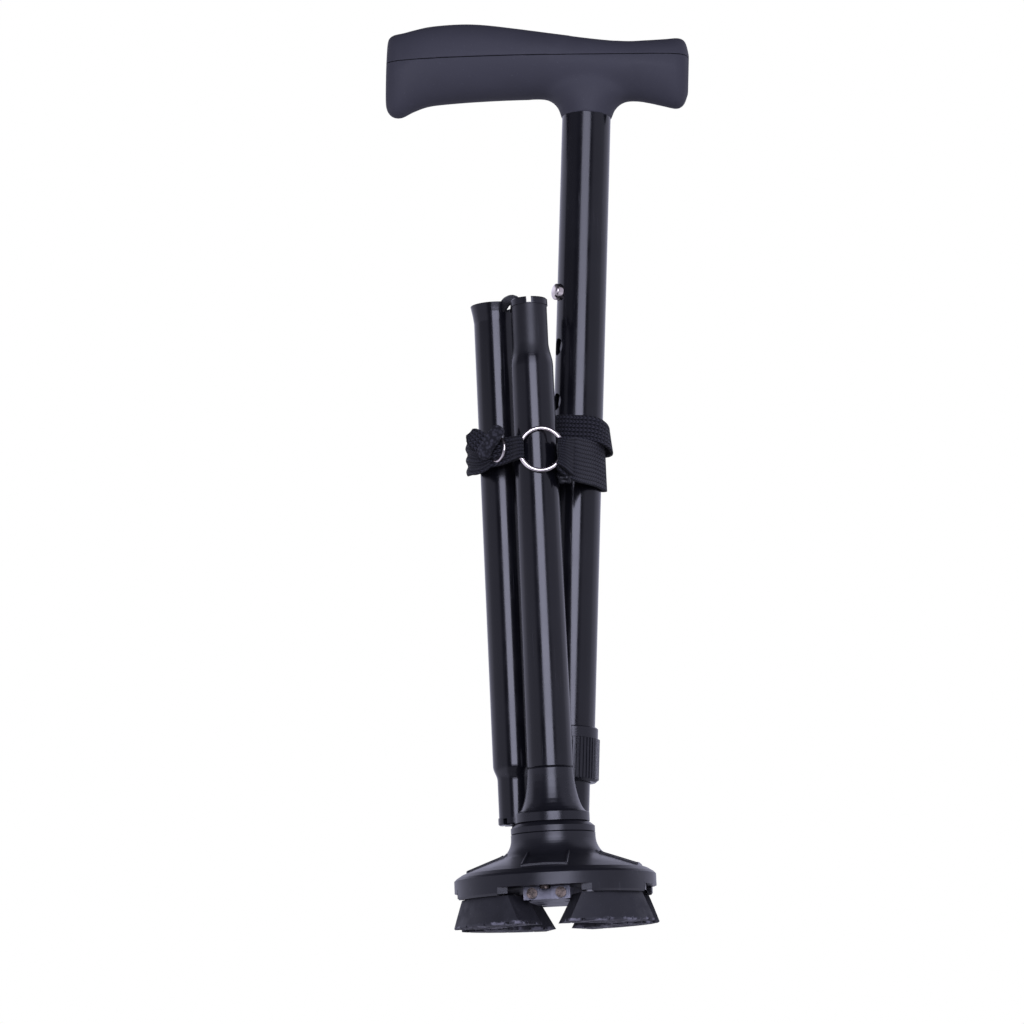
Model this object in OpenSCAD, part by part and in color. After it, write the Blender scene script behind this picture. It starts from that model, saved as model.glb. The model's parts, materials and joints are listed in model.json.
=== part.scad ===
// Folding walking cane, folded into a bundle of three sections and tied with its wrist strap.
// Sizes in millimetres. X points right, Y points back, Z points up.
// The origin is the middle of the four soles, on the axis of the lower section.

/* [Lower section] */
// Outside diameter of the lower tube where it meets the pivot bell
lower_od = 20.4; // [19.6:0.1:22]
// Outside diameter of the lower tube just under its shoulder
lower_top_od = 18.8; // [18.4:0.1:19.2]
// Length of the lower tube from the bell to the start of its shoulder
lower_len = 178.5; // [140:0.5:220]
// Length of the shoulder that narrows the lower tube into its spigot
lower_shoulder = 10.8; // [9:0.1:14]

/* [Middle section] */
// Outside diameter of the middle tube
middle_od = 19; // [18.6:0.1:19.8]
// Length of the middle section from its flared rim to the tip of its ferrule
middle_len = 234; // [200:0.5:260]
// Length of the shoulder that narrows the middle tube into its spigot
middle_shoulder = 6.5; // [4:0.1:8]
// Length of the flared socket mouth
flare_len = 8; // [5:0.5:10]
// How far the flared rim stands out from the tube
flare_out = 1.3; // [0.9:0.1:1.6]
// Height of the middle section's tip above the top of the cone
middle_rise = 6.4; // [5:0.1:12]

/* [Upper section] */
// Outside diameter of the sliding inner tube
inner_od = 19; // [18.6:0.1:19.4]
// Length of the inner tube
inner_len = 264; // [250:1:290]
// Outside diameter of the upper tube
upper_od = 22.2; // [21.9:0.1:23.4]
// Wall of the upper tube
upper_wall = 1.2; // [1:0.1:1.2]
// Number of height holes
hole_count = 7; // [4:1:7]
// Distance between the height holes
hole_pitch = 25.4; // [20:0.1:26]
// Diameter of the snap button
button_d = 7.4; // [6:0.1:8.4]
// How far the snap button stands out of the upper tube
button_out = 3.2; // [2.5:0.1:6]
// Distance of the snap button below the top end of the inner tube
button_drop = 23.5; // [18:0.5:40]
// Direction that the snap button points in, from the front towards the left
button_turn = 66; // [30:1:80]

/* [Tubes and joints] */
// Wall of the lower, middle and inner tubes
tube_wall = 1.2; // [0.9:0.1:1.2]
// Outside diameter of the spigots
spigot_od = 15.5; // [14.5:0.1:15.6]
// Length of the spigots from shoulder to ferrule
spigot_len = 16.6; // [12:0.1:24]
// Diameter of the slotted ferrules
ferrule_d = 16.3; // [15.8:0.1:16.3]
// Height of the slotted ferrules
ferrule_h = 3.1; // [2.6:0.1:5]
// Width of the slots across the ferrules
ferrule_slot = 2.1; // [1.5:0.1:3]
// Diameter of the elastic cord
cord_d = 4.4; // [3:0.1:4.6]

/* [Lock nut] */
// Outside diameter of the lock nut over its ribs
nut_od = 26.8; // [26.4:0.1:29]
// Height of the lock nut
nut_h = 19; // [16:0.5:24]
// Number of grip ribs round the lock nut
nut_ribs = 48; // [24:1:52]
// Depth of the grooves between the ribs
rib_depth = 0.45; // [0.2:0.05:0.5]
// Height of the lock nut above the end of the inner tube
nut_rise = 18.5; // [12:0.5:30]
// Outside diameter of the plain collar above the nut
collar_od = 25; // [24.4:0.1:26]
// Height of the plain collar
collar_h = 5; // [3:0.5:8]

/* [Handle] */
// Length of the nose of the handle, in front of the tube axis
nose_len = 92.4; // [80:0.1:105]
// Length of the tail of the handle, behind the tube axis
tail_len = 46.3; // [40:0.1:55]
// Greatest half width of the handle
handle_half_w = 17; // [16:0.1:19]
// Height of the handle over its neck, at its crest
handle_h = 42.6; // [38:0.1:48]
// Distance from the collar to the neck of the handle
handle_rise = 280.8; // [268:0.1:320]
// Depth of the tube socket inside the handle
handle_socket = 18; // [12:0.5:20]

/* [Base] */
// Radius of the base shell at its rim
rim_r = 43.8; // [42.5:0.1:48]
// Height of the top edge of the rim above the floor
rim_top = 21.9; // [20:0.1:24]
// Height of the lower edge of the skirt above the floor
skirt_z = 12.4; // [11:0.1:14]
// How much higher the skirt is cut between the feet
notch_h = 3.4; // [2:0.1:5]
// Height of the top of the cone
cone_top = 39.8; // [37:0.1:42]
// Radius of the cone at its top
cone_r = 18.4; // [18.3:0.1:20]
// Radius of the pivot ring on top of the cone
ring_r = 18.3; // [17.6:0.1:18.4]
// Turn of the base about the upright axis
base_turn = -5.5; // [-10:0.5:10]
// Radius of the sole of the feet
sole_r = 44.8; // [43.8:0.1:48]
// Height of the pivot ball above the floor
pivot_z = 22.5; // [21.5:0.1:23.5]
// Diameter of the pivot ball
ball_d = 12.5; // [11:0.1:13]
// Diameter of the ball stud's shank
shank_d = 8; // [6.5:0.1:8.5]
// Radius of the flange at the foot of the pivot bell
flange_r = 16.2; // [15.4:0.1:16.4]
// Height of the flange's lower edge above the floor
flange_z = 45; // [44.6:0.1:47]
// Thickness of the flange
flange_h = 3.9; // [3:0.1:5]
// Height of the bell above the flange
bell_h = 19.7; // [16:0.1:24]

/* [Bundle] */
// Clearance between the middle section's ferrule and the pivot ring, seen from above
bundle_gap = 1; // [0.6:0.1:3]
// Clearance between the lock nut and the middle tube
nut_gap = 1.5; // [0.8:0.1:4]
// Direction from the lower section to the middle section
middle_dir = 126.4; // [122:0.1:130]
// Direction from the middle section to the upper section
upper_dir = 15.9; // [12:0.1:20]
// Lean of the upper section away from the middle section
lean = 4.3; // [3:0.1:5]

/* [Strap] */
// Width of the strap's webbing
strap_w = 18; // [15:0.5:22]
// Thickness of the webbing
strap_t = 1.2; // [0.8:0.1:1.6]
// Height of the middle of the strap above the floor
strap_z = 207; // [180:1:220]
// Outside diameter of the strap's ring
strap_ring_d = 19; // [16:0.5:22]
// Wire diameter of the strap's rings
ring_wire = 1.6; // [1.2:0.1:2]

/* [Hidden] */
$fn = 64;

// Clearances shared by the fits
press = 0.02;
running = 0.06;
slip = 0.15;
free = 0.4;
over = 1;

// Small chamfer of the moulded edges
edge = 0.5;

// Colours
tube_black = [0.09, 0.09, 0.1];
shell_black = [0.16, 0.16, 0.18];
rubber_black = [0.2, 0.2, 0.22];
soft_grey = [0.24, 0.25, 0.29];
cord_black = [0.07, 0.07, 0.07];
strap_black = [0.1, 0.1, 0.11];
metal = [0.75, 0.75, 0.77];
nylon = [0.8, 0.8, 0.78];
cast_grey = [0.55, 0.55, 0.57];

// Heights on the lower section
bell_top = flange_z + flange_h + bell_h;
lower_top = bell_top + lower_len;
lower_spigot_z = lower_top + lower_shoulder;
lower_ferrule_z = lower_spigot_z + spigot_len;
lower_tip = lower_ferrule_z + ferrule_h;

// Ferrules: share of the spigot that the plug fills, and the floor left under the slots
plug_share = 0.7;
slot_floor = 0.4;
middle_ferrule_turn = -37;

// Places and heights of the middle section
ferrule_r = ferrule_d / 2;
middle_dist = ring_r + ferrule_r + bundle_gap;
middle_x = middle_dist * cos(middle_dir);
middle_y = middle_dist * sin(middle_dir);
middle_tip = cone_top + middle_rise;
rim_z = middle_tip + middle_len;
middle_spigot_z = middle_tip + ferrule_h + spigot_len;
middle_full_z = middle_spigot_z + middle_shoulder;
flare_share = 0.4;

// Place of the upper section, whose own Z runs up the inner tube from its lower end
upper_dist = middle_od / 2 + nut_od / 2 + nut_gap - nut_rise * tan(lean);
upper_x = middle_x + upper_dist * cos(upper_dir);
upper_y = middle_y + upper_dist * sin(upper_dir);
inner_end_z = middle_tip;

// Heights along the upper section
collar_gap = 0.2;
seat_rise = 5.5;
inner_r = inner_od / 2;
upper_r = upper_od / 2;
nut_top = nut_rise + nut_h;
collar_z = nut_top + collar_gap;
collar_top = collar_z + collar_h;
tube_seat = nut_rise + seat_rise;
neck_z = collar_top + handle_rise;
upper_top = neck_z + handle_socket;
button_z = inner_len - button_drop;
bush_cap = 3;
bush_plug = 12;
bush_wall = 2;

// Washer and crimp that hold the ends of the cord, and the height of the one in the inner tube
anchor_z = 118;
anchor_crimp = 7;
washer_h = 2;
crimp_wall = 1.2;

// Snap button and its spring
button_in = 5.3;
button_head = 1.2;
button_lip = 1.1;
button_round = 1.6;
spring_t = 0.75;
spring_w = 6;
spring_len = 42;
spring_back = 7.6;

// Lock nut and collet
thread_wall = 1.4;
thread_r = nut_od / 2 - thread_wall;
nut_chamfer = 1.4;
rib_share = [0, 0.5, 0.6, 0.9];
nut_lip = 0.8;
collet_slots = 6;
collet_slot_w = 1.2;

// Pivot: concentric spheres about the ball's centre
dome_gap = 0.44;
cup_r = sqrt(pow(flange_r, 2) + pow(flange_z - pivot_z, 2));
dome_r = cup_r - dome_gap;
liner_t = 1.3;
liner_in = ball_d / 2 + slip;
liner_out = liner_in + liner_t;
liner_mouth = [3.6, 8.5];
seat_r = liner_out + slip;
tilt_room = tan(14.5);
mouth_r = shank_d / 2 + free;
ring_in = mouth_r + (dome_r + over) * tilt_room;
stud_over = 6;
stud_top = bell_top + stud_over;
bell_plug = 12;
flange_step = 0.2;
bell_bend = 1;

// Base shell: a straight slope that rounds up into the cone's neck
shell_wall = 2.4;
plate_z = skirt_z + notch_h;
slope = 20.6;
slope_start = [3.6, 1.6];
slope_r = rim_r - slope_start[0];
slope_z = rim_top + slope_start[1];
neck_start = cone_top - slope_start[1];
cone_round = (neck_start - slope_z - (slope_r - cone_r) * tan(slope))
    / (cos(slope) + sin(slope) * tan(slope) - tan(slope));
lug = [4.4, 2.2, 2.8];
block_w = 20;
block_fit = 0.1;
block_screw_d = 2.4;
block_head_d = 4.6;
block_head_h = 1.4;
block_sink = 1.8;
screw_inset = 3;
shell_screw_place = 36.4;
shell_screw_len = 6;

// Bar under the retainer block: its underside, half its waist, where it narrows and its reach to the front
bar_z = 10.2;
bar_waist = 7;
bar_narrows = [18, 23, 25];
bar_reach = 32;
bar_screw = [6.2, 12.9];
bar_screw_len = 4;
cross = [3.2, 0.8, 0.7];

// Feet: each spreads towards its sole, between gaps given by half their width at the sole beside the foot's
// inner edge, and by how fast they widen outwards and upwards
foot_in = 24;
foot_fit = 0.2;
gap_front = [3.5, 0.36, 0.55];
gap_side = [3.5, 0.36, 0.45];
notch_front = 20.2;
notch_side = 16.7;
groove_h = 0.9;
groove_w = 0.9;
groove_count = 4;
groove_step = 4.6;
groove_start = 26.6;
groove_fan = [-24, -8, 8, 24];
peg_r = 3;
peg_h = 3;
peg_place = 33;

// Raised frames of the bare panels on the cone, one over each gap
frame_half = 10;
frame_narrow = 0.92;
frame_low = 37.3;
frame_high = 19.5;
frame_bar = 1;
frame_raise = 0.6;

// Steps of the smooth curves
curve_steps = 10;

// Handle stations: share of nose or tail, shares of the height for top and bottom, share of half width
nose_rows = [[-1, 0.769, 0.149, 0.3], [-0.993, 0.844, 0.055, 0.55], [-0.965, 0.883, -0.015, 0.72],
    [-0.92, 0.903, -0.022, 0.8], [-0.86, 0.938, 0.05, 0.86], [-0.78, 0.975, 0.117, 0.92],
    [-0.65, 1, 0.156, 0.98], [-0.53, 0.998, 0.181, 1], [-0.37, 0.963, 0.206, 1],
    [-0.17, 0.913, 0.223, 0.96]];
tail_rows = [[0.06, 0.866, 0.221, 0.92], [0.36, 0.846, 0.216, 0.88], [0.57, 0.861, 0.206, 0.85],
    [0.77, 0.883, 0.161, 0.8], [0.89, 0.898, 0.136, 0.74], [0.96, 0.859, 0.179, 0.6],
    [1, 0.72, 0.298, 0.3]];
seam_share = 0.612;
seam_tilt = 2.6;
handle_steps = 2;
handle_sides = 24;
handle_square = 2.5;
handle_tuck = 0.32;

// Neck: how far it stands out from the tube along and across the handle, and its share of the height
neck_sides = 40;
neck_rows = [[0.35, 0.35, 0], [1.1, 0.7, 0.06], [2.7, 1, 0.135], [6, 1.2, 0.205], [8.6, 1.4, 0.232],
    [8.6, 1.4, 0.3], [5, 1.2, 0.4], [0, 0, 0.5]];

// Route of the cord over the two folds: share of the way across, height past an end, and over the first
// fold which end that is: 0 the lower tip, 1 the middle section's rim
cord_sides = 10;
cord_slot = 8.4;
rim_slot = 4.6;
bend_top = [[0, -9, 0], [0, -7.4, 0], [0.06, -5.3, 0], [0.16, -3.1, 0], [0.28, -0.8, 0], [0.38, 1.6, 0],
    [0.48, 0.2, 1], [0.58, 0.35, 1], [0.66, -0.1, 1], [0.75, -1.5, 1], [0.84, -3.6, 1], [0.92, -6.2, 1],
    [0.98, -9.2, 1], [1, -11.6, 1], [1, -13.6, 1]];
bend_bottom = [[0, 0], [0, 1.6], [0.05, 2.5], [0.14, 3.1], [0.3, 3.3], [0.5, 3.4], [0.7, 3.3],
    [0.86, 3.1], [0.95, 2.5], [1, 1.6], [1, 0.2], [1, -3]];

// Strap
strap_room = 0.4;
strap_lap = 0.1;
wrap_lap = 4.5;
wrap_in = upper_r + strap_room;
wrap_mid = wrap_in + strap_t + strap_lap;
wrap_out = wrap_mid + strap_t;
ring_side = 2.6;
loop_h = 14;
keeper_d = 13;
tab_size = [11, 3.6, 14];
tab_rise = 3.5;

// A value between a and b, with level ends
function ease(a, b, t) = a + (b - a) * (1 - cos(180 * t)) / 2;

// Points of an eased step from one radius and height to another
function eased(r0, z0, r1, z1) =
    [for (i = [0:curve_steps]) [ease(r0, r1, i / curve_steps), z0 + (z1 - z0) * i / curve_steps]];

// A list read backwards
function reversed(list) = [for (i = [len(list) - 1:-1:0]) list[i]];

// A profile moved inwards by a wall
function inset(list, wall) = [for (p = list) [p[0] - wall, p[1]]];

// Point and direction of a smooth curve through rows, between row i and the next
function row_at(rows, i) = rows[max(0, min(len(rows) - 1, i))];
function smooth_row(rows, i, t) =
    let (a = row_at(rows, i - 1), b = row_at(rows, i), c = row_at(rows, i + 1), d = row_at(rows, i + 2))
    b + t / 2 * (c - a + t * (2 * a - 5 * b + 4 * c - d + t * (3 * (b - c) + d - a)));
function smooth_rows(rows, steps) = concat(
    [for (i = [0:len(rows) - 2], k = [0:steps - 1]) smooth_row(rows, i, k / steps)],
    [rows[len(rows) - 1]]);

// Signed power, for rounded box sections
function signed_pow(v, e) = sign(v) * pow(abs(v), e);

// One ring of the handle: a rounded box section at x, from its top, bottom and half width, tucked in below
function handle_ring(row) =
    let (mid = handle_h * (row[1] + row[2]) / 2, half = handle_h * (row[1] - row[2]) / 2,
        e = 2 / handle_square)
    [for (k = [0:handle_sides - 1]) let (a = 360 * k / handle_sides, v = signed_pow(sin(a), e))
        [row[0], handle_half_w * row[3] * (1 - handle_tuck * max(0, -v)) * signed_pow(cos(a), e),
            mid + half * v]];

// Triangles that skin rings of n points each, with both ends closed
function skin_faces(rings, n) = concat(
    [for (i = [0:rings - 2], k = [0:n - 1], half = [0, 1])
        let (a = i * n + k, b = i * n + (k + 1) % n)
        half == 0 ? [a, a + n, b] : [b, a + n, b + n]],
    [[for (k = [0:n - 1]) k]],
    [[for (k = [n - 1:-1:0]) (rings - 1) * n + k]]);

// One ring of a cord square to its direction, kept level across the plane of the bend
function cord_ring(p, dir, side) =
    let (up = cross(side, dir))
    [for (k = [0:cord_sides - 1]) let (a = 360 * k / cord_sides)
        p + cord_d / 2 * (cos(a) * side + sin(a) * up)];

function unit(v) = v / norm(v);

// Tube of the cord's diameter along points that lie in one upright plane
module cord_sweep(points) {
    last = len(points) - 1;
    across = points[last] - points[0];
    side = unit(cross([0, 0, 1], [across[0], across[1], 0]));
    rings = [for (i = [0:last])
        cord_ring(points[i], unit(points[min(last, i + 1)] - points[max(0, i - 1)]), side)];
    polyhedron([for (ring = rings, p = ring) p], skin_faces(last + 1, cord_sides));
}

// Frames of the sections
module middle_frame() {
    translate([middle_x, middle_y, 0]) children();
}

module upper_frame() {
    translate([upper_x, upper_y, inner_end_z])
        rotate([0, 0, upper_dir]) rotate([0, lean, 0]) rotate([0, 0, -upper_dir]) children();
}

// Points the X axis of its children along the snap button
module button_frame() {
    translate([0, 0, button_z]) rotate([0, 0, -90 - button_turn]) children();
}

// A ring of rectangular section
module sleeve(r_in, r_out, z0, z1) {
    difference() {
        translate([0, 0, z0]) cylinder(r = r_out, h = z1 - z0);
        translate([0, 0, z0 - over]) cylinder(r = r_in, h = z1 - z0 + 2 * over);
    }
}

// A tube with a constant wall inside an outline of radii and heights
module walled_tube(outline) {
    rotate_extrude() polygon(concat(outline, reversed(inset(outline, tube_wall))));
}

// Slotted ferrule that guides a spigot into its socket, tip upwards, seated at height 0
module ferrule() {
    plug_r = spigot_od / 2 - tube_wall - press;
    plug_len = spigot_len * plug_share;
    difference() {
        rotate_extrude() polygon([[0, -plug_len], [plug_r, -plug_len], [plug_r, 0], [ferrule_r, 0],
            [ferrule_r, ferrule_h - edge], [ferrule_r - edge, ferrule_h], [0, ferrule_h]]);
        translate([0, 0, -plug_len - over]) cylinder(d = cord_d + free, h = plug_len + ferrule_h + 2 * over);
        for (turn = [0, 90]) rotate([0, 0, turn])
            translate([-ferrule_r - over, -ferrule_slot / 2, slot_floor])
                cube([2 * (ferrule_r + over), ferrule_slot, ferrule_h + over]);
    }
}

// Straight stretch of cord between two heights
module cord_run(z0, z1) {
    translate([0, 0, z0]) cylinder(d = cord_d, h = z1 - z0);
}

// Washer and crimp that hold an end of the cord, standing on height 0
module cord_anchor(r) {
    difference() {
        union() {
            cylinder(r = r, h = washer_h);
            cylinder(d = cord_d + 2 * crimp_wall, h = anchor_crimp);
        }
        translate([0, 0, -over]) cylinder(d = cord_d + 2 * press, h = anchor_crimp + 2 * over);
    }
}

// Base

// Half outline of the base shell, from the plate it carries the feet with up to the pivot ring
module base_outline() {
    arc = [for (i = [0:curve_steps]) let (a = 270 - slope - (90 - slope) * i / curve_steps)
        [cone_r + cone_round * (1 + cos(a)), neck_start + cone_round * sin(a)]];
    polygon(concat([[0, skirt_z], [rim_r - edge, skirt_z], [rim_r, skirt_z + 2 * edge],
        [rim_r, rim_top - 2 * edge], [rim_r - 2 * edge, rim_top], [slope_r, slope_z]], arc,
        [[cone_r, cone_top], [0, cone_top]]));
}

// Skirt cut between two feet, towards the front
module skirt_notch(half) {
    translate([-half, -rim_r - over, skirt_z - over]) cube([2 * half, rim_r, notch_h + over]);
}

// Square lugs under the shell at the two ends of a notch
module notch_lugs(half) {
    reach = sqrt(pow(rim_r - shell_wall, 2) - pow(half, 2));
    for (side = [-1, 1]) translate([side * (half - lug[0] / 2), -reach - lug[1] / 2 - edge, plate_z])
        translate([-lug[0] / 2, -lug[1] / 2, -lug[2]]) cube(lug + [0, 0, over]);
}

// Plan of one raised frame, open at its top, towards the front
module frame_plan() {
    top_half = frame_half * frame_narrow;
    difference() {
        polygon([[-frame_half, -frame_low], [frame_half, -frame_low], [top_half, -frame_high],
            [-top_half, -frame_high]]);
        polygon([[frame_bar - frame_half, frame_bar - frame_low],
            [frame_half - frame_bar, frame_bar - frame_low],
            [top_half - frame_bar, over - frame_high], [frame_bar - top_half, over - frame_high]]);
    }
}

module base_shell() {
    bore_h = cone_top + over - pivot_z;
    color(shell_black) rotate([0, 0, base_turn]) difference() {
        union() {
            difference() {
                union() {
                    rotate_extrude() base_outline();
                    intersection() {
                        translate([0, 0, frame_raise]) rotate_extrude() base_outline();
                        translate([0, 0, rim_top]) linear_extrude(neck_start - rim_top)
                            for (turn = [0:90:270]) rotate([0, 0, turn]) frame_plan();
                    }
                }
                cylinder(r = rim_r - shell_wall, h = plate_z);
                for (turn = [0, 180]) rotate([0, 0, turn]) skirt_notch(notch_front);
                for (turn = [90, 270]) rotate([0, 0, turn]) skirt_notch(notch_side);
            }
            for (turn = [0, 180]) rotate([0, 0, turn]) notch_lugs(notch_front);
            for (turn = [90, 270]) rotate([0, 0, turn]) notch_lugs(notch_side);
        }
        translate([0, 0, pivot_z]) sphere(r = seat_r);
        translate([0, 0, pivot_z]) cylinder(r1 = mouth_r, r2 = mouth_r + bore_h * tilt_room, h = bore_h);
        translate([-block_w / 2 - block_fit, -block_w / 2 - block_fit, 0])
            cube([block_w + 2 * block_fit, block_w + 2 * block_fit, pivot_z]);
        for (turn = [45:90:315]) rotate([0, 0, turn]) translate([peg_place, 0, plate_z - over])
            cylinder(r = peg_r + slip, h = peg_h + slip + over);
        at_shell_screws() translate([0, 0, -over])
            cylinder(d = block_screw_d, h = shell_screw_len + slip + over);
    }
}

module pivot_ring() {
    color(shell_black) difference() {
        intersection() {
            translate([0, 0, cone_top]) rotate_extrude() polygon([[0, 0], [ring_r - edge, 0], [ring_r, edge],
                [ring_r, dome_r], [0, dome_r]]);
            translate([0, 0, pivot_z]) sphere(r = dome_r);
        }
        translate([0, 0, cone_top - over]) cylinder(r = ring_in, h = dome_r);
    }
}

// Places of the retainer screws, sunk in the underside of the bar
module at_retainer_screws() {
    spread = block_w / 2 - screw_inset;
    for (x = [-spread, spread], y = [-spread, spread]) translate([x, y, bar_z + block_sink]) children();
}

// Places of the screws in the two ends of the bar
module at_bar_screws() {
    for (turn = [0, 180], side = [-1, 1]) rotate([0, 0, turn])
        translate([side * bar_screw[0], -bar_reach, bar_screw[1]]) rotate([-90, 0, 0]) children();
}

// Places of the shell's own screws, under its plate over the four gaps
module at_shell_screws() {
    for (turn = [0:90:270]) rotate([0, 0, turn]) translate([0, -shell_screw_place, plate_z]) children();
}

// Screw with a cross in its head, which hangs under height 0
module cross_screw(len) {
    difference() {
        union() {
            translate([0, 0, -block_head_h]) cylinder(d = block_head_d, h = block_head_h);
            cylinder(d = block_screw_d - 2 * press, h = len);
        }
        for (turn = [0, 90]) rotate([0, 0, turn])
            translate([-cross[0] / 2, -cross[1] / 2, -block_head_h - over]) cube(cross + [0, 0, over]);
    }
}

// Plan of the bar under the retainer block, with a waist between the inner edges of the feet
module bar_plan() {
    half = block_w / 2;
    side = [[half, bar_narrows[0]], [bar_waist, bar_narrows[1]], [bar_waist, bar_narrows[2]],
        [half, bar_reach]];
    polygon(concat(side, [for (p = reversed(side)) [-p[0], p[1]]], [for (p = side) -p],
        [for (p = reversed(side)) [p[0], -p[1]]]));
}

// Block that holds the ball up in its seat, with a bar that reaches between the front and the rear feet
module retainer_block() {
    color(cast_grey) rotate([0, 0, base_turn]) difference() {
        union() {
            translate([-block_w / 2, -block_w / 2, plate_z - over])
                cube([block_w, block_w, pivot_z - plate_z + over]);
            translate([0, 0, bar_z]) linear_extrude(plate_z - block_fit - bar_z) bar_plan();
        }
        translate([0, 0, pivot_z]) sphere(r = seat_r);
        at_retainer_screws() {
            translate([0, 0, -over]) cylinder(d = block_screw_d, h = pivot_z);
            translate([0, 0, -block_sink - over])
                cylinder(d = block_head_d + 2 * slip, h = block_sink + over);
        }
        at_bar_screws() translate([0, 0, -over]) cylinder(d = block_screw_d, h = bar_screw_len + slip + over);
    }
}

module retainer_screws() {
    color(metal) rotate([0, 0, base_turn]) {
        at_retainer_screws() cross_screw(pivot_z - bar_z - block_sink - over);
        at_bar_screws() cross_screw(bar_screw_len);
        at_shell_screws() cross_screw(shell_screw_len);
    }
}

// Space on the foot's side of a gap, which widens outwards and upwards
module beside_gap(gap) {
    far = 2 * sole_r;
    translate([gap[0], foot_in, 0]) rotate([90, 0, -atan(gap[1])]) linear_extrude(2 * far, center = true)
        polygon([[-gap[2] * over, -over], [far, -over], [far, plate_z], [gap[2] * plate_z, plate_z]]);
}

// Grooves in the sole of a foot: chords across it and a fan of cuts
module sole_grooves() {
    rotate([0, 0, 45]) {
        for (i = [0:groove_count - 1]) translate([groove_start + i * groove_step, -sole_r, -over])
            cube([groove_w, 2 * sole_r, groove_h + over]);
        for (turn = groove_fan) rotate([0, 0, turn]) translate([0, -groove_w / 2, -over])
            cube([2 * sole_r, groove_w, groove_h + over]);
    }
}

// One rubber foot, in the quarter where X and Y are positive, with a tenon and a peg up into the shell
module foot() {
    top_r = rim_r - shell_wall - foot_fit;
    color(rubber_black) difference() {
        union() {
            intersection() {
                rotate_extrude() polygon([[foot_in, 0], [sole_r - edge, 0], [sole_r, edge],
                    [top_r + edge, skirt_z - slip], [foot_in, skirt_z - slip]]);
                beside_gap(gap_front);
                mirror([1, -1, 0]) beside_gap(gap_side);
            }
            intersection() {
                sleeve(foot_in, top_r, skirt_z - over, plate_z);
                translate([notch_front + free, notch_side + free, 0]) cube(2 * sole_r);
            }
            rotate([0, 0, 45]) translate([peg_place, 0, plate_z - over])
                cylinder(r = peg_r, h = peg_h + over);
        }
        sole_grooves();
    }
}

module foot_front_left() { rotate([0, 0, base_turn + 180]) foot(); }
module foot_front_right() { rotate([0, 0, base_turn]) mirror([0, 1, 0]) foot(); }
module foot_rear_left() { rotate([0, 0, base_turn]) mirror([1, 0, 0]) foot(); }
module foot_rear_right() { rotate([0, 0, base_turn]) foot(); }

// Pivot

// Nylon cup that floats between the ball and its seat
module ball_liner() {
    color(nylon) translate([0, 0, pivot_z]) difference() {
        sphere(r = liner_out);
        sphere(r = liner_in);
        cylinder(r1 = liner_mouth[0], r2 = liner_mouth[1], h = liner_out + over);
    }
}

module ball_stud() {
    color(metal) {
        translate([0, 0, pivot_z]) sphere(d = ball_d);
        translate([0, 0, pivot_z]) cylinder(d = shank_d, h = stud_top - pivot_z);
    }
}

module pivot_bell() {
    plug_r = lower_od / 2 - tube_wall - slip;
    bell = [for (i = [0:curve_steps - 1]) let (a = 90 * i / curve_steps)
        [lower_od / 2 + (flange_r - flange_step - lower_od / 2) * pow(1 - sin(a), bell_bend),
            flange_z + flange_h + bell_h * (1 - cos(a))]];
    color(shell_black) difference() {
        rotate_extrude() polygon(concat([[0, flange_z], [flange_r, flange_z],
            [flange_r, flange_z + flange_h - flange_step]], bell,
            [[lower_od / 2, bell_top - edge], [lower_od / 2 - edge, bell_top], [plug_r, bell_top],
            [plug_r, bell_top + bell_plug], [0, bell_top + bell_plug]]));
        translate([0, 0, pivot_z]) sphere(r = cup_r);
        cylinder(d = shank_d + 2 * press, h = stud_top + slip);
    }
}

// Lower section

// Way out of the spigot for the cord, towards the middle section
module cord_way() {
    wide = cord_d + 2 * free;
    rotate([0, 0, middle_dir]) translate([0, -wide / 2, lower_tip - cord_slot])
        cube([spigot_od, wide, cord_slot + over]);
}

module lower_tube() {
    color(tube_black) difference() {
        walled_tube(concat([[lower_od / 2, bell_top]],
            eased(lower_top_od / 2, lower_top, spigot_od / 2, lower_spigot_z),
            [[spigot_od / 2, lower_ferrule_z]]));
        cord_way();
        rotate_extrude() translate([lower_od / 2, bell_top])
            polygon([[-edge - over, -over], [over, -over], [over, edge + over]]);
    }
}

module lower_ferrule() {
    color(shell_black) difference() {
        translate([0, 0, lower_ferrule_z]) ferrule();
        cord_way();
    }
}

module cord_anchor_lower() {
    color(metal) translate([0, 0, bell_top + bell_plug]) cord_anchor(lower_top_od / 2 - tube_wall - slip);
}

module cord_lower() {
    color(cord_black) cord_run(bell_top + bell_plug, lower_tip + bend_top[0][1]);
}

// First fold
module cord_bend_top() {
    ends = [lower_tip, rim_z];
    color(cord_black) cord_sweep([for (p = bend_top) [p[0] * middle_x, p[0] * middle_y, ends[p[2]] + p[1]]]);
}

// Middle section

// Notch in the rim for the cord, towards the lower section
module rim_way() {
    wide = cord_d + 2 * free;
    rotate([0, 0, middle_dir + 180]) translate([0, -wide / 2, rim_z - rim_slot])
        cube([middle_od, wide, rim_slot + over]);
}

module middle_tube() {
    color(tube_black) middle_frame() difference() {
        walled_tube(concat([[spigot_od / 2, middle_tip + ferrule_h]],
            eased(spigot_od / 2, middle_spigot_z, middle_od / 2, middle_full_z),
            [[middle_od / 2, rim_z - flare_len],
                [middle_od / 2 + flare_out * flare_share, rim_z - flare_len / 2],
                [middle_od / 2 + flare_out, rim_z]]));
        rim_way();
    }
}

module middle_ferrule() {
    color(shell_black) middle_frame() translate([0, 0, middle_tip + ferrule_h])
        mirror([0, 0, 1]) rotate([0, 0, middle_ferrule_turn]) ferrule();
}

module cord_middle() {
    color(cord_black) middle_frame() cord_run(middle_tip, rim_z + bend_top[len(bend_top) - 1][1]);
}

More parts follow.
